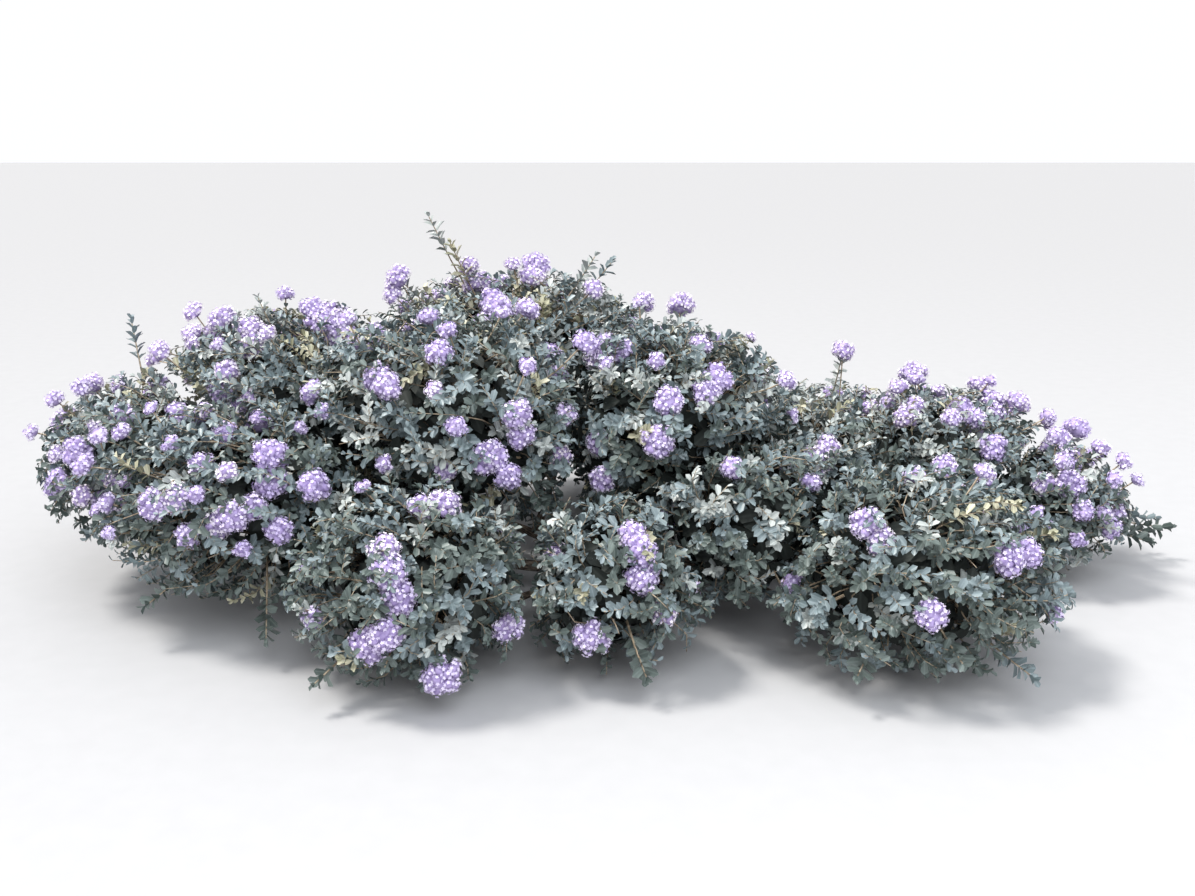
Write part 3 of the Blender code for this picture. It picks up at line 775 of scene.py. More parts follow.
def ring_frames(path, radii):
    """A matrix for each ring: its place, its turn without twist, and its radius as scale."""
    last = len(path) - 1
    side = (path[-1] - path[0]).orthogonal().normalized()
    frames = []
    for i, (point, radius) in enumerate(zip(path, radii)):
        ahead = (path[min(i + 1, last)] - path[max(i - 1, 0)]).normalized()
        side = (side - ahead * side.dot(ahead)).normalized()
        turn = Matrix((side, ahead.cross(side), ahead)).transposed().to_4x4()
        frames.append(Matrix.Translation(point) @ turn @ Matrix.Scale(radius, 4))
    return frames


def new_ring(bm, edges):
    """Extrudes a ring of edges in place, and gives the new points and edges."""
    grown = bmesh.ops.extrude_edge_only(bm, edges=edges)["geom"]
    points = [part for part in grown if isinstance(part, bmesh.types.BMVert)]
    return points, [part for part in grown if isinstance(part, bmesh.types.BMEdge) and part.is_boundary]


print("ridges of", RIDGE, "of the radius")

# %% Limbs with bark
def add_limb(bm, path, radii, sides, collar, lobes):
    """Adds one limb to a bmesh: a tube along its course, whose points then move in or out as bark."""
    straight = bm.verts.layers.float_vector["straight"]
    frames = ring_frames(path, radii)
    points = bmesh.ops.create_circle(bm, segments=sides, radius=1.0, matrix=frames[0])["verts"]
    edges = list(dict.fromkeys(edge for point in points for edge in point.link_edges))
    rings = [points]
    for lower, upper in zip(frames, frames[1:]):
        points, edges = new_ring(bm, edges)
        bmesh.ops.transform(bm, matrix=upper @ lower.inverted(), verts=points)
        rings.append(points)
    travelled = 0.0
    for i, (ring, ring_frame, radius) in enumerate(zip(rings, frames, radii)):
        travelled += (path[i] - path[i - 1]).length if i else 0.0
        inverse = ring_frame.inverted()
        girth = max(radius, LEAST_GIRTH)
        for point in ring:
            flat = inverse @ point.co
            place = Vector((flat.x * girth, flat.y * girth, travelled * STRETCH))
            around = math.atan2(flat.y, flat.x)
            swell = collar * math.exp(-travelled / COLLAR_LENGTH)
            lobe = lobes * math.cos(ROOT_LOBES * around) * math.exp(-travelled / STEM_FLARE_HEIGHT)
            ridge = RIDGE * noise.fractal(place * RIDGE_SCALE, *RIDGE_NOISE)
            point.co = path[i] + (point.co - path[i]) * (1 + ridge + swell + lobe)
            point[straight] = place
    for ring in (rings[0], rings[-1]):
        bmesh.ops.contextual_create(bm, geom=ring)


def new_bark():
    """A bmesh whose points can carry their place on a straight limb."""
    bm = bmesh.new()
    bm.verts.layers.float_vector.new("straight")
    return bm


def finish_bark(bm, name, replaced):
    """The piece for a bmesh of limbs."""
    bmesh.ops.recalc_face_normals(bm, faces=bm.faces)
    add_piece(name, mesh_from(bm, name), old_bark, replaced)


print("collars reach", COLLAR_LENGTH, "m up a bough")

# %% [markdown]
# The stem and the boughs
#
# The stem stands on a flat cut at the ground, so its lowest ring is pressed flat after the bark has moved
# it. Each bough starts inside the stem or another bough and ends where its mass begins. They could be
# sixteen pieces, but they are joined in one, because no bough moves on its own.

# %% Stem and boughs
STEM_FINE_RINGS = 48
STEM_SIDES = 40
BOUGH_FINE_RINGS = 56
BOUGH_SIDES = 16

bark = new_bark()
add_limb(bark, *stem_course(STEM_FINE_RINGS), STEM_SIDES, 0.0, ROOT_LOBE_DEPTH)
for point in bark.verts:
    point.co.z = max(point.co.z, 0.0)
finish_bark(bark, "stem_bark", ["stem"])

bark = new_bark()
for name, mass in MASSES.items():
    course = curve_points(*bough_curves[name], BOUGH_FINE_RINGS)
    add_limb(bark, course, bough_radii(mass, BOUGH_FINE_RINGS), BOUGH_SIDES, COLLAR, 0.0)
finish_bark(bark, "boughs_bark", BOUGHS)

# %% [markdown]
# Tubes by the thousand
#
# A twig is a thin tube on a curve. Thousands of them can't each have an extruded bmesh, as that would take
# minutes. So one straight tube is modelled, and arrays bend a copy of it along every curve. Three or five
# sides are enough, because a twig is only a few hairs thick in the picture.

# %% Bent tubes
def tube_stamp(sides, rings):
    """A straight tube of radius 1 and length 1 along Z, in rings."""
    bm = bmesh.new()
    points = bmesh.ops.create_circle(bm, segments=sides, radius=1.0)["verts"]
    ends = [points]
    edges = list(bm.edges)
    for _ in range(rings):
        points, edges = new_ring(bm, edges)
        bmesh.ops.translate(bm, vec=(0, 0, 1 / rings), verts=points)
    ends.append(points)
    for ring in ends:
        bmesh.ops.contextual_create(bm, geom=ring)
    bmesh.ops.recalc_face_normals(bm, faces=bm.faces)
    return Stamp(bm)


def bent(stamp, curves, foot_radius, tip_radius):
    """The points of a straight tube, bent along each curve and tapered."""
    share = stamp.points[:, 2]
    points, headings = along_curves(curves, share)
    sides = square_to(np.broadcast_to(scattered(len(points), 1), points.shape), headings)
    others = np.cross(headings, sides)
    radii = foot_radius + (tip_radius - foot_radius) * share
    across = sides * stamp.points[:, 0, None] + others * stamp.points[:, 1, None]
    return points + across * radii[:, None]


branch_stamp = tube_stamp(sides=5, rings=6)
twig_stamp = tube_stamp(sides=3, rings=3)
print("a branch has", len(branch_stamp.faces), "triangles and a twig", len(twig_stamp.faces))

# %% [markdown]
# The small shapes
#
# A leaf is a round-tipped paddle, folded a little along its rib and arched. A flower has five spoon petals,
# which a star of ten corners gives. Both start from a bmesh circle, as its corners can be moved by a short
# formula. Balls fill a head behind its flowers: a fine one as its heart, and a coarse one in each umbel.

# %% Stamps
LEAF_CORNERS = 6
LEAF_MIDDLE = 0.1
LEAF_SHOULDER = 0.08
LEAF_OUTER_WIDTH = 0.27
LEAF_INNER_WIDTH = 0.225
LEAF_FOLD = 0.50
LEAF_ARCH = 0.16
PETALS = 5
PETAL_NOTCH = 0.58
PETAL_RISE = 0.64


def leaf_stamp():
    """A leaf of length 1 along X: a circle of six corners, made a paddle that is widest near its tip."""
    bm = bmesh.new()
    bmesh.ops.create_circle(bm, cap_ends=True, cap_tris=True, segments=LEAF_CORNERS, radius=1.0)
    for vertex in bm.verts:
        along, side = vertex.co.y, -vertex.co.x
        if abs(side) > LEAF_MIDDLE:
            width = LEAF_OUTER_WIDTH if along > 0 else LEAF_INNER_WIDTH
            side = math.copysign(width, side)
            along += LEAF_SHOULDER
        along = (along + 1) / 2
        vertex.co = (along, side, LEAF_FOLD * abs(side) - LEAF_ARCH * along**2)
    return Stamp(bm)


def flower_stamp():
    """A flower 1 wide: five petals from a circle of ten corners, with every second corner drawn in."""
    bm = bmesh.new()
    bmesh.ops.create_circle(bm, cap_ends=True, cap_tris=True, segments=2 * PETALS, radius=0.5)
    for vertex in bm.verts:
        corner = round(math.atan2(-vertex.co.x, vertex.co.y) / (math.pi / PETALS))
        if corner % 2:
            vertex.co *= PETAL_NOTCH
        vertex.co.z = PETAL_RISE * vertex.co.length_squared
    return Stamp(bm)


def ball_stamp(subdivisions):
    """A ball of radius 1."""
    bm = bmesh.new()
    bmesh.ops.create_icosphere(bm, subdivisions=subdivisions, radius=1.0)
    return Stamp(bm)


leaf_shape = leaf_stamp()
flower_shape = flower_stamp()
ball_shape = ball_stamp(subdivisions=2)
lump_shape = ball_stamp(subdivisions=1)
shapes = {"leaf": leaf_shape, "flower": flower_shape, "ball": ball_shape, "lump": lump_shape}
print("triangles:", {name: len(shape.faces) for name, shape in shapes.items()})

# %% [markdown]
# The branches inside a mass
#
# The stem of a mass carries on from its bough to the centre, and branches leave it on all sides. They could
# be left out, as leaves hide most of them, but the gaps in this crown show wood, and every twig needs
# something to leave. A branch that would cross into another mass is skipped.

# %% Branches
JOINT_GAP = 0.0004
MASS_STEM_BEND = 0.25
MASS_STEM_TIP_RADIUS = 0.003
BRANCHES = 26
BRANCH_SCATTER = 0.15
BRANCH_SHARE = 0.62
BRANCH_FEET = (0.55, 1.0)
BRANCH_KNOTS = (0.3, 1.0, 8)
STEM_KNOTS = (0.6, 1.0, 5)
BRANCH_FOOT_RADIUS = 0.0026
BRANCH_TIP_RADIUS = 0.0013
BRANCH_SAG = 0.16
LEAST_ROOM = 0.35


def mass_stem(name):
    """The curve of the stem inside a mass, which carries straight on from its bough."""
    path = limbs[name][0]
    heading = (path[-1] - path[-2]).normalized()
    foot = path[-1] + heading * JOINT_GAP
    centre = Vector(MASSES[name].centre)
    knee = foot + heading * (centre - foot).length * MASS_STEM_BEND
    return tuple(np.array([tuple(point)]) for point in (foot, knee, centre))


def grow_branches(index, stem):
    """The curves of a mass's branches, and points along them that twigs can leave from."""
    directions = unit(sphere_directions(BRANCHES) + scattered(BRANCHES) * BRANCH_SCATTER)
    room = rooms(directions, index, 1.0)
    directions, room = directions[room > LEAST_ROOM], room[room > LEAST_ROOM]
    tips = CENTRES[index] + directions * HALVES[index] * (room * BRANCH_SHARE)[:, None]
    roots = along_curves(stem, draw.uniform(*BRANCH_FEET, (1, len(tips))))[0][0]
    length = np.linalg.norm(tips - roots, axis=1, keepdims=True)
    curves = (roots, (roots + tips) / 2 - UP * length * BRANCH_SAG, tips)
    points = along_curves(curves, np.linspace(*BRANCH_KNOTS))[0]
    kept = whole(points, index, holds)
    inner = along_curves(stem, np.linspace(*STEM_KNOTS))[0][0]
    return tuple(part[kept] for part in curves), np.concatenate((points[kept].reshape(-1, 3), inner))


branch_points = []
knots = []
for index, name in enumerate(NAMES):
    stem = mass_stem(name)
    branch_points.append(bent(branch_stamp, stem, BOUGH_TIP_RADIUS, MASS_STEM_TIP_RADIUS))
    curves, own_knots = grow_branches(index, stem)
    branch_points.append(bent(branch_stamp, curves, BRANCH_FOOT_RADIUS, BRANCH_TIP_RADIUS))
    knots.append(own_knots)
add_copies("branches", branch_stamp, np.concatenate(branch_points), branch_bark)

# %% [markdown]
# Where the flower heads stand
#
# The frame's solids already hold the larger heads, so the same rule is run again here with the same seed,
# and gives the same places. Each mass then gets a number of smaller heads, spread over its open side as far
# from the others as they can be. On the upper side some of these stand out of the crown on bare stalks. A
# head that would run into another mass is skipped.

# %% Heads
DIRECTIONS = 160
OUTER_SHARE = 0.90
LOWEST_HEAD = -0.2
TWIG_ROOT_SHARE = 0.50
HEAD_RADIUS = 0.022
HEAD_SIZES = (0.85, 1.15)
HEAD_FLATTEN = 0.80
HEAD_SPREAD = 1.30
HEAD_SIDES = (0, 1, -1)
SIDE_HEAD_BACK = 0.6
HEAD_BACK = 1.25
SMALL_RADII = (0.0110, 0.0195)
SMALL_BACKS = (1.1, 2.0)
SMALL_LIFT = 0.4
STANDING_SHARE = 0.40
STANDING_RISE = 0.25
STANDING_REACH = (1.07, 1.20)


class Head(NamedTuple):
    mass: int
    centre: np.ndarray
    axis: np.ndarray
    radius: float


def head_ball(head, share):
    """The points of a head's flattened ball, at a share of its radius."""
    axes = axes_of(square_to(scattered(1), head.axis[None]), head.axis[None])
    axes[:, 2] *= HEAD_FLATTEN
    return placed(ball_shape, head.centre[None], axes, np.array([head.radius * share]))


def add_head(head, fits):
    """Keeps a head if all of its ball fits."""
    if fits(head_ball(head, 1.0)[0], head.mass).all():
        heads.append(head)


def truss(index, tip, heading, count, chance, fits):
    """Adds the heads at the end of one twig that fit: one at its tip, and the others beside it."""
    axis = Vector(heading)
    side = axis.orthogonal().normalized()
    side.rotate(Matrix.Rotation(chance.uniform(0, 2 * math.pi), 3, axis))
    for k in range(count):
        radius = HEAD_RADIUS * chance.uniform(*HEAD_SIZES)
        beside = np.array(side) * HEAD_SPREAD * HEAD_SIDES[k] - heading * SIDE_HEAD_BACK * min(k, 1)
        add_head(Head(index, tip + beside * radius, heading, radius), fits)


def end_of_twig(index, direction, back):
    """The tip and heading of a twig that runs out along a direction and stops short of the surface."""
    room = rooms(direction[None], index, REACH)[0]
    reach = direction * HALVES[index]
    root = CENTRES[index] + reach * TWIG_ROOT_SHARE
    tip = CENTRES[index] + reach * room - unit(reach) * back
    return tip, unit(tip - root)


print("a large head is", HEAD_RADIUS, "m in radius, a small one", SMALL_RADII)

# %% Heads in the masses
heads = []
for index, (name, mass) in enumerate(MASSES.items()):
    chance = random.Random(f"{SEED} {name}")
    everywhere = sphere_directions(DIRECTIONS)
    outer = everywhere[rooms(everywhere, index, 1.0) >= OUTER_SHARE - STEP / 2]
    outer = outer[outer[:, 2] > LOWEST_HEAD]
    rows = TRUSSES.get(name, ())
    taken = [direction_at(azimuth, elevation) for azimuth, elevation, _ in rows]
    chosen = spread_out(outer, taken, mass.heads)
    counts = [count for _, _, count in rows] + [1] * len(chosen)
    for direction, count in zip(taken + chosen, counts):
        truss(index, *end_of_twig(index, direction, HEAD_RADIUS * HEAD_BACK), count, chance, holds)
    for direction in spread_out(outer, taken + chosen, mass.small):
        radius = chance.uniform(*SMALL_RADII)
        tip, heading = end_of_twig(index, direction, radius * chance.uniform(*SMALL_BACKS))
        fits = holds
        if direction[2] > STANDING_RISE and chance.random() < STANDING_SHARE:
            tip = CENTRES[index] + direction * HALVES[index] * chance.uniform(*STANDING_REACH)
            fits = is_open
        add_head(Head(index, tip, unit(heading + UP * SMALL_LIFT), radius), fits)
print(len(heads), "heads in the masses")

# %% [markdown]
# The long shoots
#
# The long shoots run straight out of the mound and set its furthest reach. They could be sprays that are
# made longer, but then chance would place them. So they follow the frame's rule: each starts inside its
# mass, sags a little, and ends at its named tip. Some carry heads of flowers there.

# %% Leaders
CORE_SHARE = 0.78
LEADER_SINK = 0.55
LEADER_BOW = 0.06
LEADER_FOOT_RADIUS = 0.0022
LEADER_TIP_RADIUS = 0.0009
LEADER_BACK = 0.008

leader_curves = []
for leader in LEADERS + FURTHER_SHOOTS:
    index = NAMES.index(leader.mass)
    tip, centre = np.array(leader.tip), CENTRES[index]
    depth = depths(tip[None])[0, index]
    root = centre + (tip - centre) * LEADER_SINK * CORE_SHARE / depth
    knee = (root + tip) / 2 - UP * np.linalg.norm(tip - root) * LEADER_BOW
    heading = unit(tip - knee)
    end = tip - heading * (HEAD_RADIUS if leader.heads else LEADER_BACK)
    truss(index, end, heading, leader.heads, random.Random(f"{SEED} {leader}"), is_open)
    leader_curves.append((root, knee, end))
print(len(heads), "heads in all")

# %% [markdown]
# The sprays
#
# A spray is a twig with its leaves. Its foot is on the nearest branch, and its end leans over to a tip near
# the crown's surface. Sprays stand as close on a small mass as on a large one, so their number comes from
# the area of each. Towards a neighbouring mass fewer are needed, as nobody sees them. An even coat of
# sprays would look clipped, so noise over the directions draws them into clumps, with hollows between. Each
# flower head has a spray of its own that carries it.

# %% Sprays
SPRAYS_PER_AREA = 1280
SPRAY_SCATTER = 0.06
SPRAY_TESTS = (0.4, 1.0, 6)
INNER_SHARE = 0.42
UNDER_SHARE = 0.6
AREA_POWER = 1.6
SHORT_TIPS = (0.80, 0.95)
LONG_TIPS = (0.95, 1.0)
LONG_SHARE = 0.24
CLUMP_DEPTH = 0.22
CLUMP_SCALE = 3.4
HOLLOW_CLUMP = -0.36
SPRAY_FOOT_SHARE = 0.50
STALK_SAG = 0.13
SPRAY_LEANS = (0.10, 0.45)
SPRAY_SHOULDER = 0.93
OUTWARD_LEAN = 0.8


def area_of(half):
    """The area of a stretched ball, by a formula that is right to one part in a hundred."""
    pairs = (half[0] * half[1], half[0] * half[2], half[1] * half[2])
    mean = sum(pair**AREA_POWER for pair in pairs) / 3
    return 4 * math.pi * mean ** (1 / AREA_POWER)


def surface_points(index, directions, shares):
    """Points at shares of the way out to where each direction leaves the space."""
    room = rooms(directions, index, REACH)
    return CENTRES[index] + directions * HALVES[index] * (room * shares)[:, None], room


def spray_curves(index):
    """The curves of the leafy sprays of one mass: each rises from a branch, then leans over to its tip."""
    count = round(SPRAYS_PER_AREA * area_of(HALVES[index]))
    directions = unit(sphere_directions(count) + scattered(count) * SPRAY_SCATTER)
    long = draw.random(count) < LONG_SHARE
    clumps = np.array([noise.noise(Vector(d) * CLUMP_SCALE + Vector((index, 0, 0))) for d in directions])
    short = draw.uniform(*SHORT_TIPS, count) + CLUMP_DEPTH * clumps
    shares = np.where(long, draw.uniform(*LONG_TIPS, count), np.minimum(short, LONG_TIPS[0]))
    outward = CENTRES[index] * (OUTWARD_LEAN, OUTWARD_LEAN, 0) / np.linalg.norm(CENTRES[index])
    lean = square_to(outward + scattered(count), directions) * draw.uniform(*SPRAY_LEANS, (count, 1))
    tips, room = surface_points(index, unit(directions + lean), shares)
    knees, _ = surface_points(index, directions, shares * SPRAY_SHOULDER)
    likely = np.where(room >= OUTER_SHARE, 1.0, INNER_SHARE)
    likely = np.where(directions[:, 2] < LOWEST_HEAD, likely * UNDER_SHARE, likely)
    kept = (room > LEAST_ROOM) & (clumps > HOLLOW_CLUMP) & (draw.random(count) < likely)
    return nearest_knots(index, knees[kept]), knees[kept], tips[kept]


def nearest_knots(index, points):
    """For each point, the place on the branches that a twig to it leaves from."""
    aim = CENTRES[index] + (points - CENTRES[index]) * SPRAY_FOOT_SHARE
    nearest = np.linalg.norm(aim[:, None, :] - knots[index], axis=2).argmin(axis=1)
    return knots[index][nearest]


def stalk_curves(index, tips):
    """The curves of the twigs that carry flower heads."""
    roots = nearest_knots(index, tips)
    length = np.linalg.norm(tips - roots, axis=1, keepdims=True)
    return roots, (roots + tips) / 2 - UP * length * STALK_SAG, tips


def only_fitting(curves, index):
    """The curves that stay inside their mass past their foot."""
    kept = whole(along_curves(curves, np.linspace(*SPRAY_TESTS))[0], index, holds)
    return tuple(part[kept] for part in curves)


print("the crown's masses have", round(sum(area_of(half) for half in HALVES), 2), "square metres")

# %% [markdown]
# Leaves along the twigs
#
# The leaves stand in opposite pairs, and each pair is a quarter turn on from the one below it. They are
# smaller and more upright towards the tip, and they turn their faces to the light. A loop over every leaf
# would be slow, so the rule runs on whole arrays, one row for each twig and one column for each pair. On
# the long shoots the leaves are larger.

# %% Leaf pairs
LEAF_LENGTH = 0.0140
LEAF_SIZES = (0.80, 1.25)
PAIR_STEP = 0.0082
PAIR_SHIFT = 0.2
MOST_PAIRS = 9
LOWEST_PAIR = 0.15
TIP_SPREAD = math.radians(24)
BASE_SPREAD = math.radians(54)
SPREAD_SCATTER = math.radians(9)
TURN_SCATTER = math.radians(13)
YOUNG_PAIRS = 2.5
PAIRS_LOST = 2
YOUNG_SIZE = 0.58
LIGHT_PULL = 0.5
OUTWARD_PULL = 0.7
FORWARD_PULL = 0.35
FACE_SCATTER = 0.35
LEADER_LEAVES = 1.35
leaves = {tone: [] for tone in TONES}


def leaf_pairs(curves, index, tones, bare, fits, scale=1.0):
    """Hangs pairs of leaves on twigs, from a bare length at the tip downwards."""
    roots, _, tips = curves
    length = np.linalg.norm(tips - roots, axis=1)[:, None]
    pair = np.arange(MOST_PAIRS)
    shape = (len(length), MOST_PAIRS)
    shifted = pair + draw.uniform(-PAIR_SHIFT, PAIR_SHIFT, shape)
    share = 1 - (bare[:, None] + shifted * PAIR_STEP) / length
    present = share > LOWEST_PAIR
    points, headings = along_curves(curves, np.clip(share, 0, 1))
    start = square_to(np.broadcast_to(scattered(len(length), 1), headings.shape), headings)
    sides = turned(start, headings, pair * math.pi / 2 + draw.normal(0, TURN_SCATTER, shape))
    age = np.clip((pair + (bare[:, None] > 0) * PAIRS_LOST) / YOUNG_PAIRS, 0, 1)
    spread = TIP_SPREAD + (BASE_SPREAD - TIP_SPREAD) * age + draw.normal(0, SPREAD_SCATTER, shape)
    tone = np.broadcast_to(tones[:, None], shape)[present]
    outward = unit((tips - CENTRES[index]) / HALVES[index] ** 2)[:, None, :]
    lengths = LEAF_LENGTH * scale * (YOUNG_SIZE + (1 - YOUNG_SIZE) * age)
    for out in (sides, -sides):
        along = headings * np.cos(spread)[..., None] + out * np.sin(spread)[..., None]
        pull = outward * OUTWARD_PULL + UP * LIGHT_PULL + headings * FORWARD_PULL
        axes = axes_of(along, square_to(pull + scattered(*shape) * FACE_SCATTER, along))
        sizes = lengths * draw.uniform(*LEAF_SIZES, shape)
        copies = placed(leaf_shape, points[present], axes[present], sizes[present])
        kept = whole(copies, index, fits)
        for k, name in enumerate(TONES):
            leaves[name].append(copies[kept & (tone == k)])


print("a twig has up to", MOST_PAIRS, "pairs of leaves")

# %% [markdown]
# Dealing out the greens
#
# Low in front the shrub is a dull, deep green. Higher up it is greyer, and far back and high it is pale.
# Both are painted sunlight on the top and back of the crown. In two sunny spots many sprays are olive and
# cream, a painted pool of sunlight. A colour that has a place like this could be a picture laid over the
# crown, but then each leaf would show a piece of it. So each spray draws one plain green, and the place of
# its tip only changes the odds.

# %% Tones
SUN_SPOTS = (((-0.22, 0.42, 0.47), 0.30), ((-0.72, 0.25, 0.32), 0.20))
RIGHT_RAMP = (0.0, 0.50)
BACK_RAMP = (-0.02, 0.30)
RAISED_RAMP = (0.08, 0.15)
HIGH_RAMP = (0.16, 0.15)
LEAST_ODDS = 0.02
# The odds everywhere, then what is added on the right, high up, far back and in the sunny spots. The odds
# added high up, far back and in the sunny spots paint sunlight on the crown. The deep green takes the rest.
TONE_ODDS = {
    "grey": (0.34, 0.06, 0.20, 0.00, 0.00),
    "pale": (0.07, 0.02, 0.10, 0.34, 0.00),
    "young_and_sunlit": (0.02, 0.00, 0.00, 0.06, 0.40),
}


def ramp(values, start, length):
    """A share that rises from 0 at the start to 1 at a length past it."""
    return np.clip((values - start) / length, 0, 1)


def spray_tones(tips):
    """The tone of each spray, by the place of its tip."""
    x, y, z = tips.T
    sun = [np.exp(-((tips - place) ** 2).sum(axis=1) / size**2) for place, size in SUN_SPOTS]
    far = ramp(y, *BACK_RAMP) * ramp(z, *RAISED_RAMP)
    shares = (1, ramp(x, *RIGHT_RAMP), ramp(z, *HIGH_RAMP), far, np.maximum(*sun))
    grey, pale, young_and_sunlit = (sum(a * b for a, b in zip(row, shares)) for row in TONE_ODDS.values())
    odds = np.clip(np.stack((1 - young_and_sunlit - pale - grey, grey, pale, young_and_sunlit), axis=1), LEAST_ODDS, 1)
    steps = np.cumsum(odds / odds.sum(axis=1, keepdims=True), axis=1)
    return (draw.random(len(tips))[:, None] > steps).sum(axis=1)


print("the odds change in", len(SUN_SPOTS), "sunny spots, to the right, high up and far back")

# %% [markdown]
# Growing the foliage
#
# With all the rules in place, each mass is grown in turn: leafy sprays, then the sprays that carry heads,
# then a lining of large dark leaves deep inside. A few sprays are dead at the end, and show as bare pale
# twigs. The lining is painted shade: its near-black leaves stand for the shaded old leaves and keep the
# ground from shining through. A dark solid core would do that too, but it would show as a smooth ball in
# the hollows.

# %% Grow
TWIG_FOOT_RADIUS = 0.0013
TWIG_TIP_RADIUS = 0.0005
DEAD_SHARE = 0.04
DEAD_LENGTH = 0.06
STALK_BARE = 1.2
LINING_PER_AREA = 1000
LINING_SHARES = (0.42, 0.72)
LINING_LENGTH = 0.034


def grow_lining(index):
    """Large dark leaves inside a mass, near-black as painted shade, with their faces turned out."""
    count = round(LINING_PER_AREA * area_of(HALVES[index]))
    directions = sphere_directions(count)
    share = np.minimum(rooms(directions, index, 1.0), draw.uniform(*LINING_SHARES, count))
    outward = unit(directions * HALVES[index])
    along = square_to(scattered(count), outward)
    axes = axes_of(along, square_to(outward + scattered(count) * FACE_SCATTER, along))
    origins = CENTRES[index] + directions * HALVES[index] * share[:, None] - along * LINING_LENGTH / 2
    copies = placed(leaf_shape, origins, axes, np.full(count, LINING_LENGTH))
    leaves["inner"].append(copies[whole(copies, index, holds)])


print("the lining's leaves are", LINING_LENGTH, "m long")

# %% Foliage
twig_points = []
for index in range(len(NAMES)):
    curves = only_fitting(spray_curves(index), index)
    twig_points.append(bent(twig_stamp, curves, TWIG_FOOT_RADIUS, TWIG_TIP_RADIUS))
    dead = draw.random(len(curves[2])) < DEAD_SHARE
    leaf_pairs(curves, index, spray_tones(curves[2]), dead * DEAD_LENGTH, holds)
    own = [head for head in heads if head.mass == index]
    curves = stalk_curves(index, np.array([head.centre for head in own]))
    twig_points.append(bent(twig_stamp, curves, TWIG_FOOT_RADIUS, TWIG_FOOT_RADIUS))
    bare = np.array([head.radius * STALK_BARE for head in own])
    leaf_pairs(curves, index, spray_tones(curves[2]), bare, holds)
    grow_lining(index)

for leader, row in zip(LEADERS + FURTHER_SHOOTS, leader_curves):
    curves = tuple(part[None] for part in row)
    twig_points.append(bent(twig_stamp, curves, LEADER_FOOT_RADIUS, LEADER_TIP_RADIUS))
    bare = np.array([HEAD_RADIUS if leader.heads else 0.0])
    leaf_pairs(curves, NAMES.index(leader.mass), spray_tones(curves[2]), bare, is_open, LEADER_LEAVES)

add_copies("twigs", twig_stamp, np.concatenate(twig_points), twig_bark)
for tone in TONES:
    add_copies(f"leaves_{tone}", leaf_shape, np.concatenate(leaves[tone]), LEAF_FINISHES[tone])
leaf_count = sum(len(rows) for tone in leaves.values() for rows in tone)
print(leaf_count, "leaves on", sum(map(len, twig_points)), "twigs")

# %% [markdown]
# Flowers on every head
#
# A head is a ball of small round umbels, and each umbel is a ball of flowers. Scattering flowers straight
# on the large ball would make a smooth pompon, which this plant doesn't have. So the spiral is used twice:
# it puts the umbels on the head, and then the flowers on each umbel. The side of the stalk stays bare. A
# violet lump fills each umbel, and a violet heart fills the head, as the back of it would show through
# otherwise. Their darker violet is painted shade between the flowers.

# %% Flowers
FLOWER_WIDTH = 0.0056
FLOWER_SIZES = (0.80, 1.15)
FLOWER_SCATTER = 0.22
FLOWER_LEAN = 0.25
FLOWER_SIDE = -0.05
UMBEL_RADIUS = 0.0074
UMBEL_GROWTH = 1.25
UMBEL_SCATTER = 0.25
UMBELS_ON_HEAD = 24
FEWEST_UMBELS = 5
FLOWERS_ON_UMBEL = 16
UMBEL_PLACES = (0.88, 1.20)
LUMP_SHARE = 0.88
STALK_SIDE = -0.55
HEART_SHARE = 0.72
# Pale heads: a share anywhere, then many more at the back and on the left edge, fewer on the right: painted
# sunlight.
PALE_HEAD_SHARE = 0.15
SUNLIT_PALE_AT_BACK = 0.75
SUNLIT_BACK_RAMP = (0.0, 0.28)
RIGHT_PART = 0.2
RIGHT_PART_SHARE = 0.55
LEFT_EDGE = -0.70
SUNLIT_PALE_AT_EDGE = 0.4
VIOLET_SHARE = 0.35
flowers = {tone: [] for tone in PETAL_FINISHES}
hearts = []
lumps = []


def head_tone(head):
    """The tone of a head's petals. A few heads anywhere are pale, and at the back and on the left edge most
    are, as painted sunlight.
    """
    x, y, _ = head.centre
    side = RIGHT_PART_SHARE if x > RIGHT_PART else 1.0
    pale_odds = PALE_HEAD_SHARE + SUNLIT_PALE_AT_BACK * ramp(y, *SUNLIT_BACK_RAMP) * side
    if draw.random() < pale_odds + SUNLIT_PALE_AT_EDGE * (x < LEFT_EDGE):
        return "pale"
    return "violet" if draw.random() < VIOLET_SHARE else "lilac"


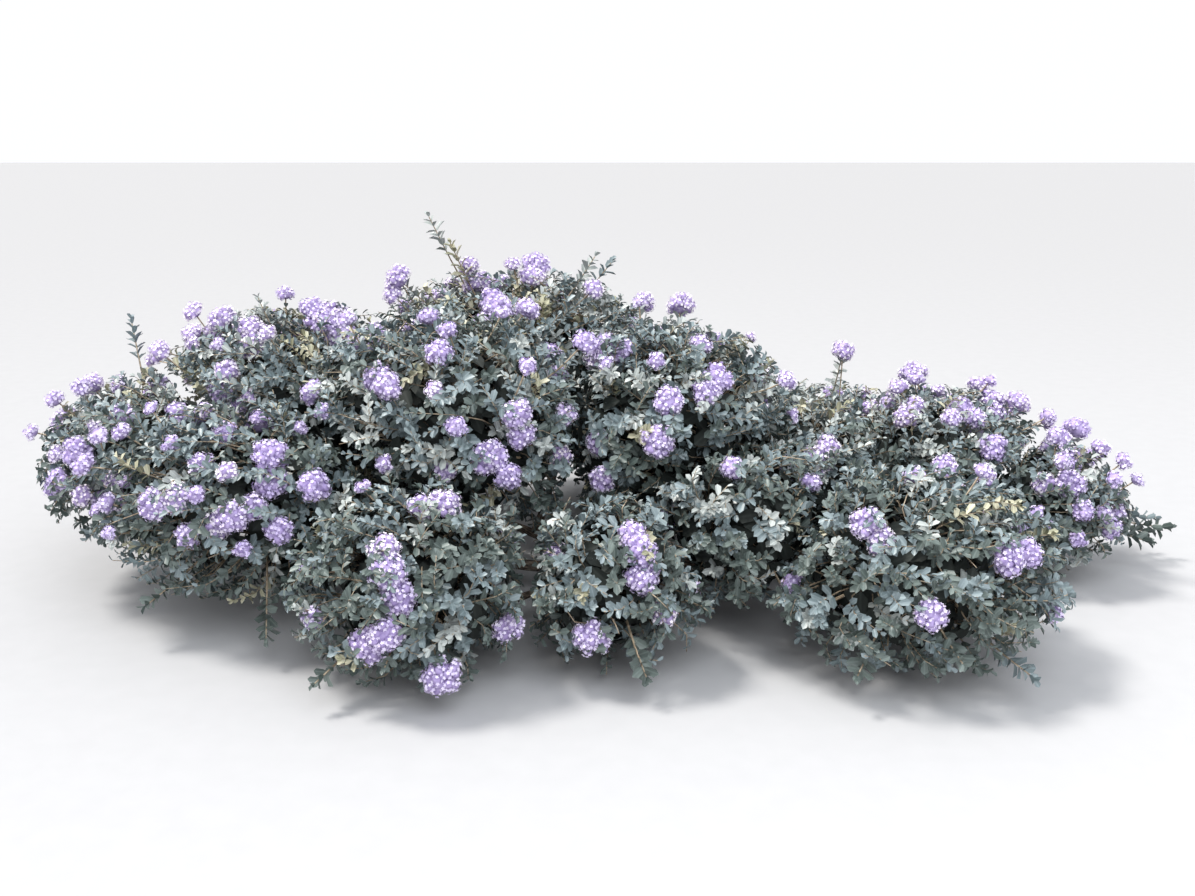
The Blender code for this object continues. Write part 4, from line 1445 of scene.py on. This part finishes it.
def grow_flowers(head):
    """The flowers of one head on their umbels, with the lumps and the heart behind them."""
    size_share = head.radius / HEAD_RADIUS
    umbels = max(FEWEST_UMBELS, round(UMBELS_ON_HEAD * size_share**2))
    outward = unit(sphere_directions(umbels) + scattered(umbels) * UMBEL_SCATTER)
    outward = outward[outward @ head.axis > STALK_SIDE]
    squash = outward - head.axis * (outward @ head.axis)[:, None] * (1 - HEAD_FLATTEN)
    umbel_radius = UMBEL_RADIUS * min(1.0, size_share * UMBEL_GROWTH)
    distance = (head.radius - umbel_radius) * draw.uniform(*UMBEL_PLACES, len(outward))
    middles = head.centre + squash * distance[:, None]
    scatter = scattered(len(middles), FLOWERS_ON_UMBEL) * FLOWER_SCATTER
    around = unit(sphere_directions(FLOWERS_ON_UMBEL) + scatter)
    kept = (around * unit(squash)[:, None, :]).sum(axis=2) > FLOWER_SIDE
    origins = (middles[:, None, :] + around * umbel_radius)[kept]
    face = unit(around[kept] + scattered(len(origins)) * FLOWER_LEAN)
    axes = axes_of(square_to(scattered(len(face)), face), face)
    sizes = FLOWER_WIDTH * draw.uniform(*FLOWER_SIZES, len(face))
    flowers[head_tone(head)].append(placed(flower_shape, origins, axes, sizes))
    hearts.append(head_ball(head, HEART_SHARE))
    axes = axes_of(square_to(scattered(len(middles)), squash), unit(squash))
    lumps.append(placed(lump_shape, middles, axes, np.full(len(middles), umbel_radius * LUMP_SHARE)))


print("a large head has", UMBELS_ON_HEAD, "umbels of", FLOWERS_ON_UMBEL, "flowers")

# %% Blossom
for head in heads:
    grow_flowers(head)
for tone, finish in PETAL_FINISHES.items():
    add_copies(f"flowers_{tone}", flower_shape, np.concatenate(flowers[tone]), finish)
add_copies("head_hearts", ball_shape, np.concatenate(hearts), heart_finish)
add_copies("head_lumps", lump_shape, np.concatenate(lumps), heart_finish)
print(sum(len(rows) for tone in flowers.values() for rows in tone), "flowers on", len(heads), "heads")

# %% [markdown]
# Floor, light and camera
#
# The picture was taken from the open front, a little above the shrub, under a pale sky. Single lamps would
# give hard, dark gaps between the leaves. So a pale world lights the shrub from all round, a warm sun
# stands high on the left for the bright leaves on top, and a wide cool light in front opens the shade.

# %% Stage
FLOOR_SIZE = 60.0
FLOOR_DARK = (0.40, 0.40, 0.41)
FLOOR_LIGHT = (0.43, 0.43, 0.44)
WORLD_COLOUR = (0.95, 0.97, 1.0, 1.0)
WORLD_STRENGTH = 1.05
CAMERA_PLACE = (0.0, -1.62, 0.66)
CAMERA_PITCH = math.radians(75)
CAMERA_LENS = 35.0
SUN_SPREAD = math.radians(14)
SKY_SIZE = 3.0


def pale_floor():
    """A wide pale floor, which isn't part of the shrub."""
    finish = Finish("pale_floor", roughness=0.9)
    grain = finish.noise(scale=30.0)
    colour = finish.mix(grain, FLOOR_DARK, FLOOR_LIGHT)
    bm = bmesh.new()
    bmesh.ops.create_grid(bm, x_segments=1, y_segments=1, size=FLOOR_SIZE / 2)
    mesh = mesh_from(bm, "floor")
    mesh.materials.append(finish.done(colour, finish.bump(grain, strength=0.05, distance=0.001)))
    add_object("floor", mesh)


def add_light(name, kind, place, target, power, colour):
    """A sun, or a round lamp as wide as the sky light, that looks at a target."""
    lamp = bpy.data.lights.new(name, kind)
    if kind == "SUN":
        lamp.angle = SUN_SPREAD
    else:
        lamp.shape = "DISK"
        lamp.size = SKY_SIZE
    lamp.energy = power
    lamp.color = colour
    light = add_object(name, lamp)
    light.location = place
    light.rotation_euler = (Vector(target) - Vector(place)).to_track_quat("-Z", "Y").to_euler()


pale_floor()
add_light(
    "sun_side", "SUN", place=(-1.3, 0.25, 2.6), target=(0.0, 0.1, 0.2), power=3.4, colour=(1.0, 0.97, 0.92)
)
add_light(
    "sky_front", "AREA", place=(0.8, -2.4, 2.8), target=(0.0, 0.0, 0.1), power=90.0, colour=(0.92, 0.96, 1.0)
)
print("a floor, a sun and a sky light")

# %% World and camera
world = bpy.data.worlds.new("pale_sky")
world.use_nodes = True
background = world.node_tree.nodes["Background"]
background.inputs["Color"].default_value = WORLD_COLOUR
background.inputs["Strength"].default_value = WORLD_STRENGTH
bpy.context.scene.world = world

camera = add_object("camera", bpy.data.cameras.new("camera"))
camera.data.lens = CAMERA_LENS
camera.location = CAMERA_PLACE
camera.rotation_euler = (CAMERA_PITCH, 0, 0)
bpy.context.scene.camera = camera
bpy.context.scene.view_settings.view_transform = "Standard"
print("triangles in all", triangles_made)
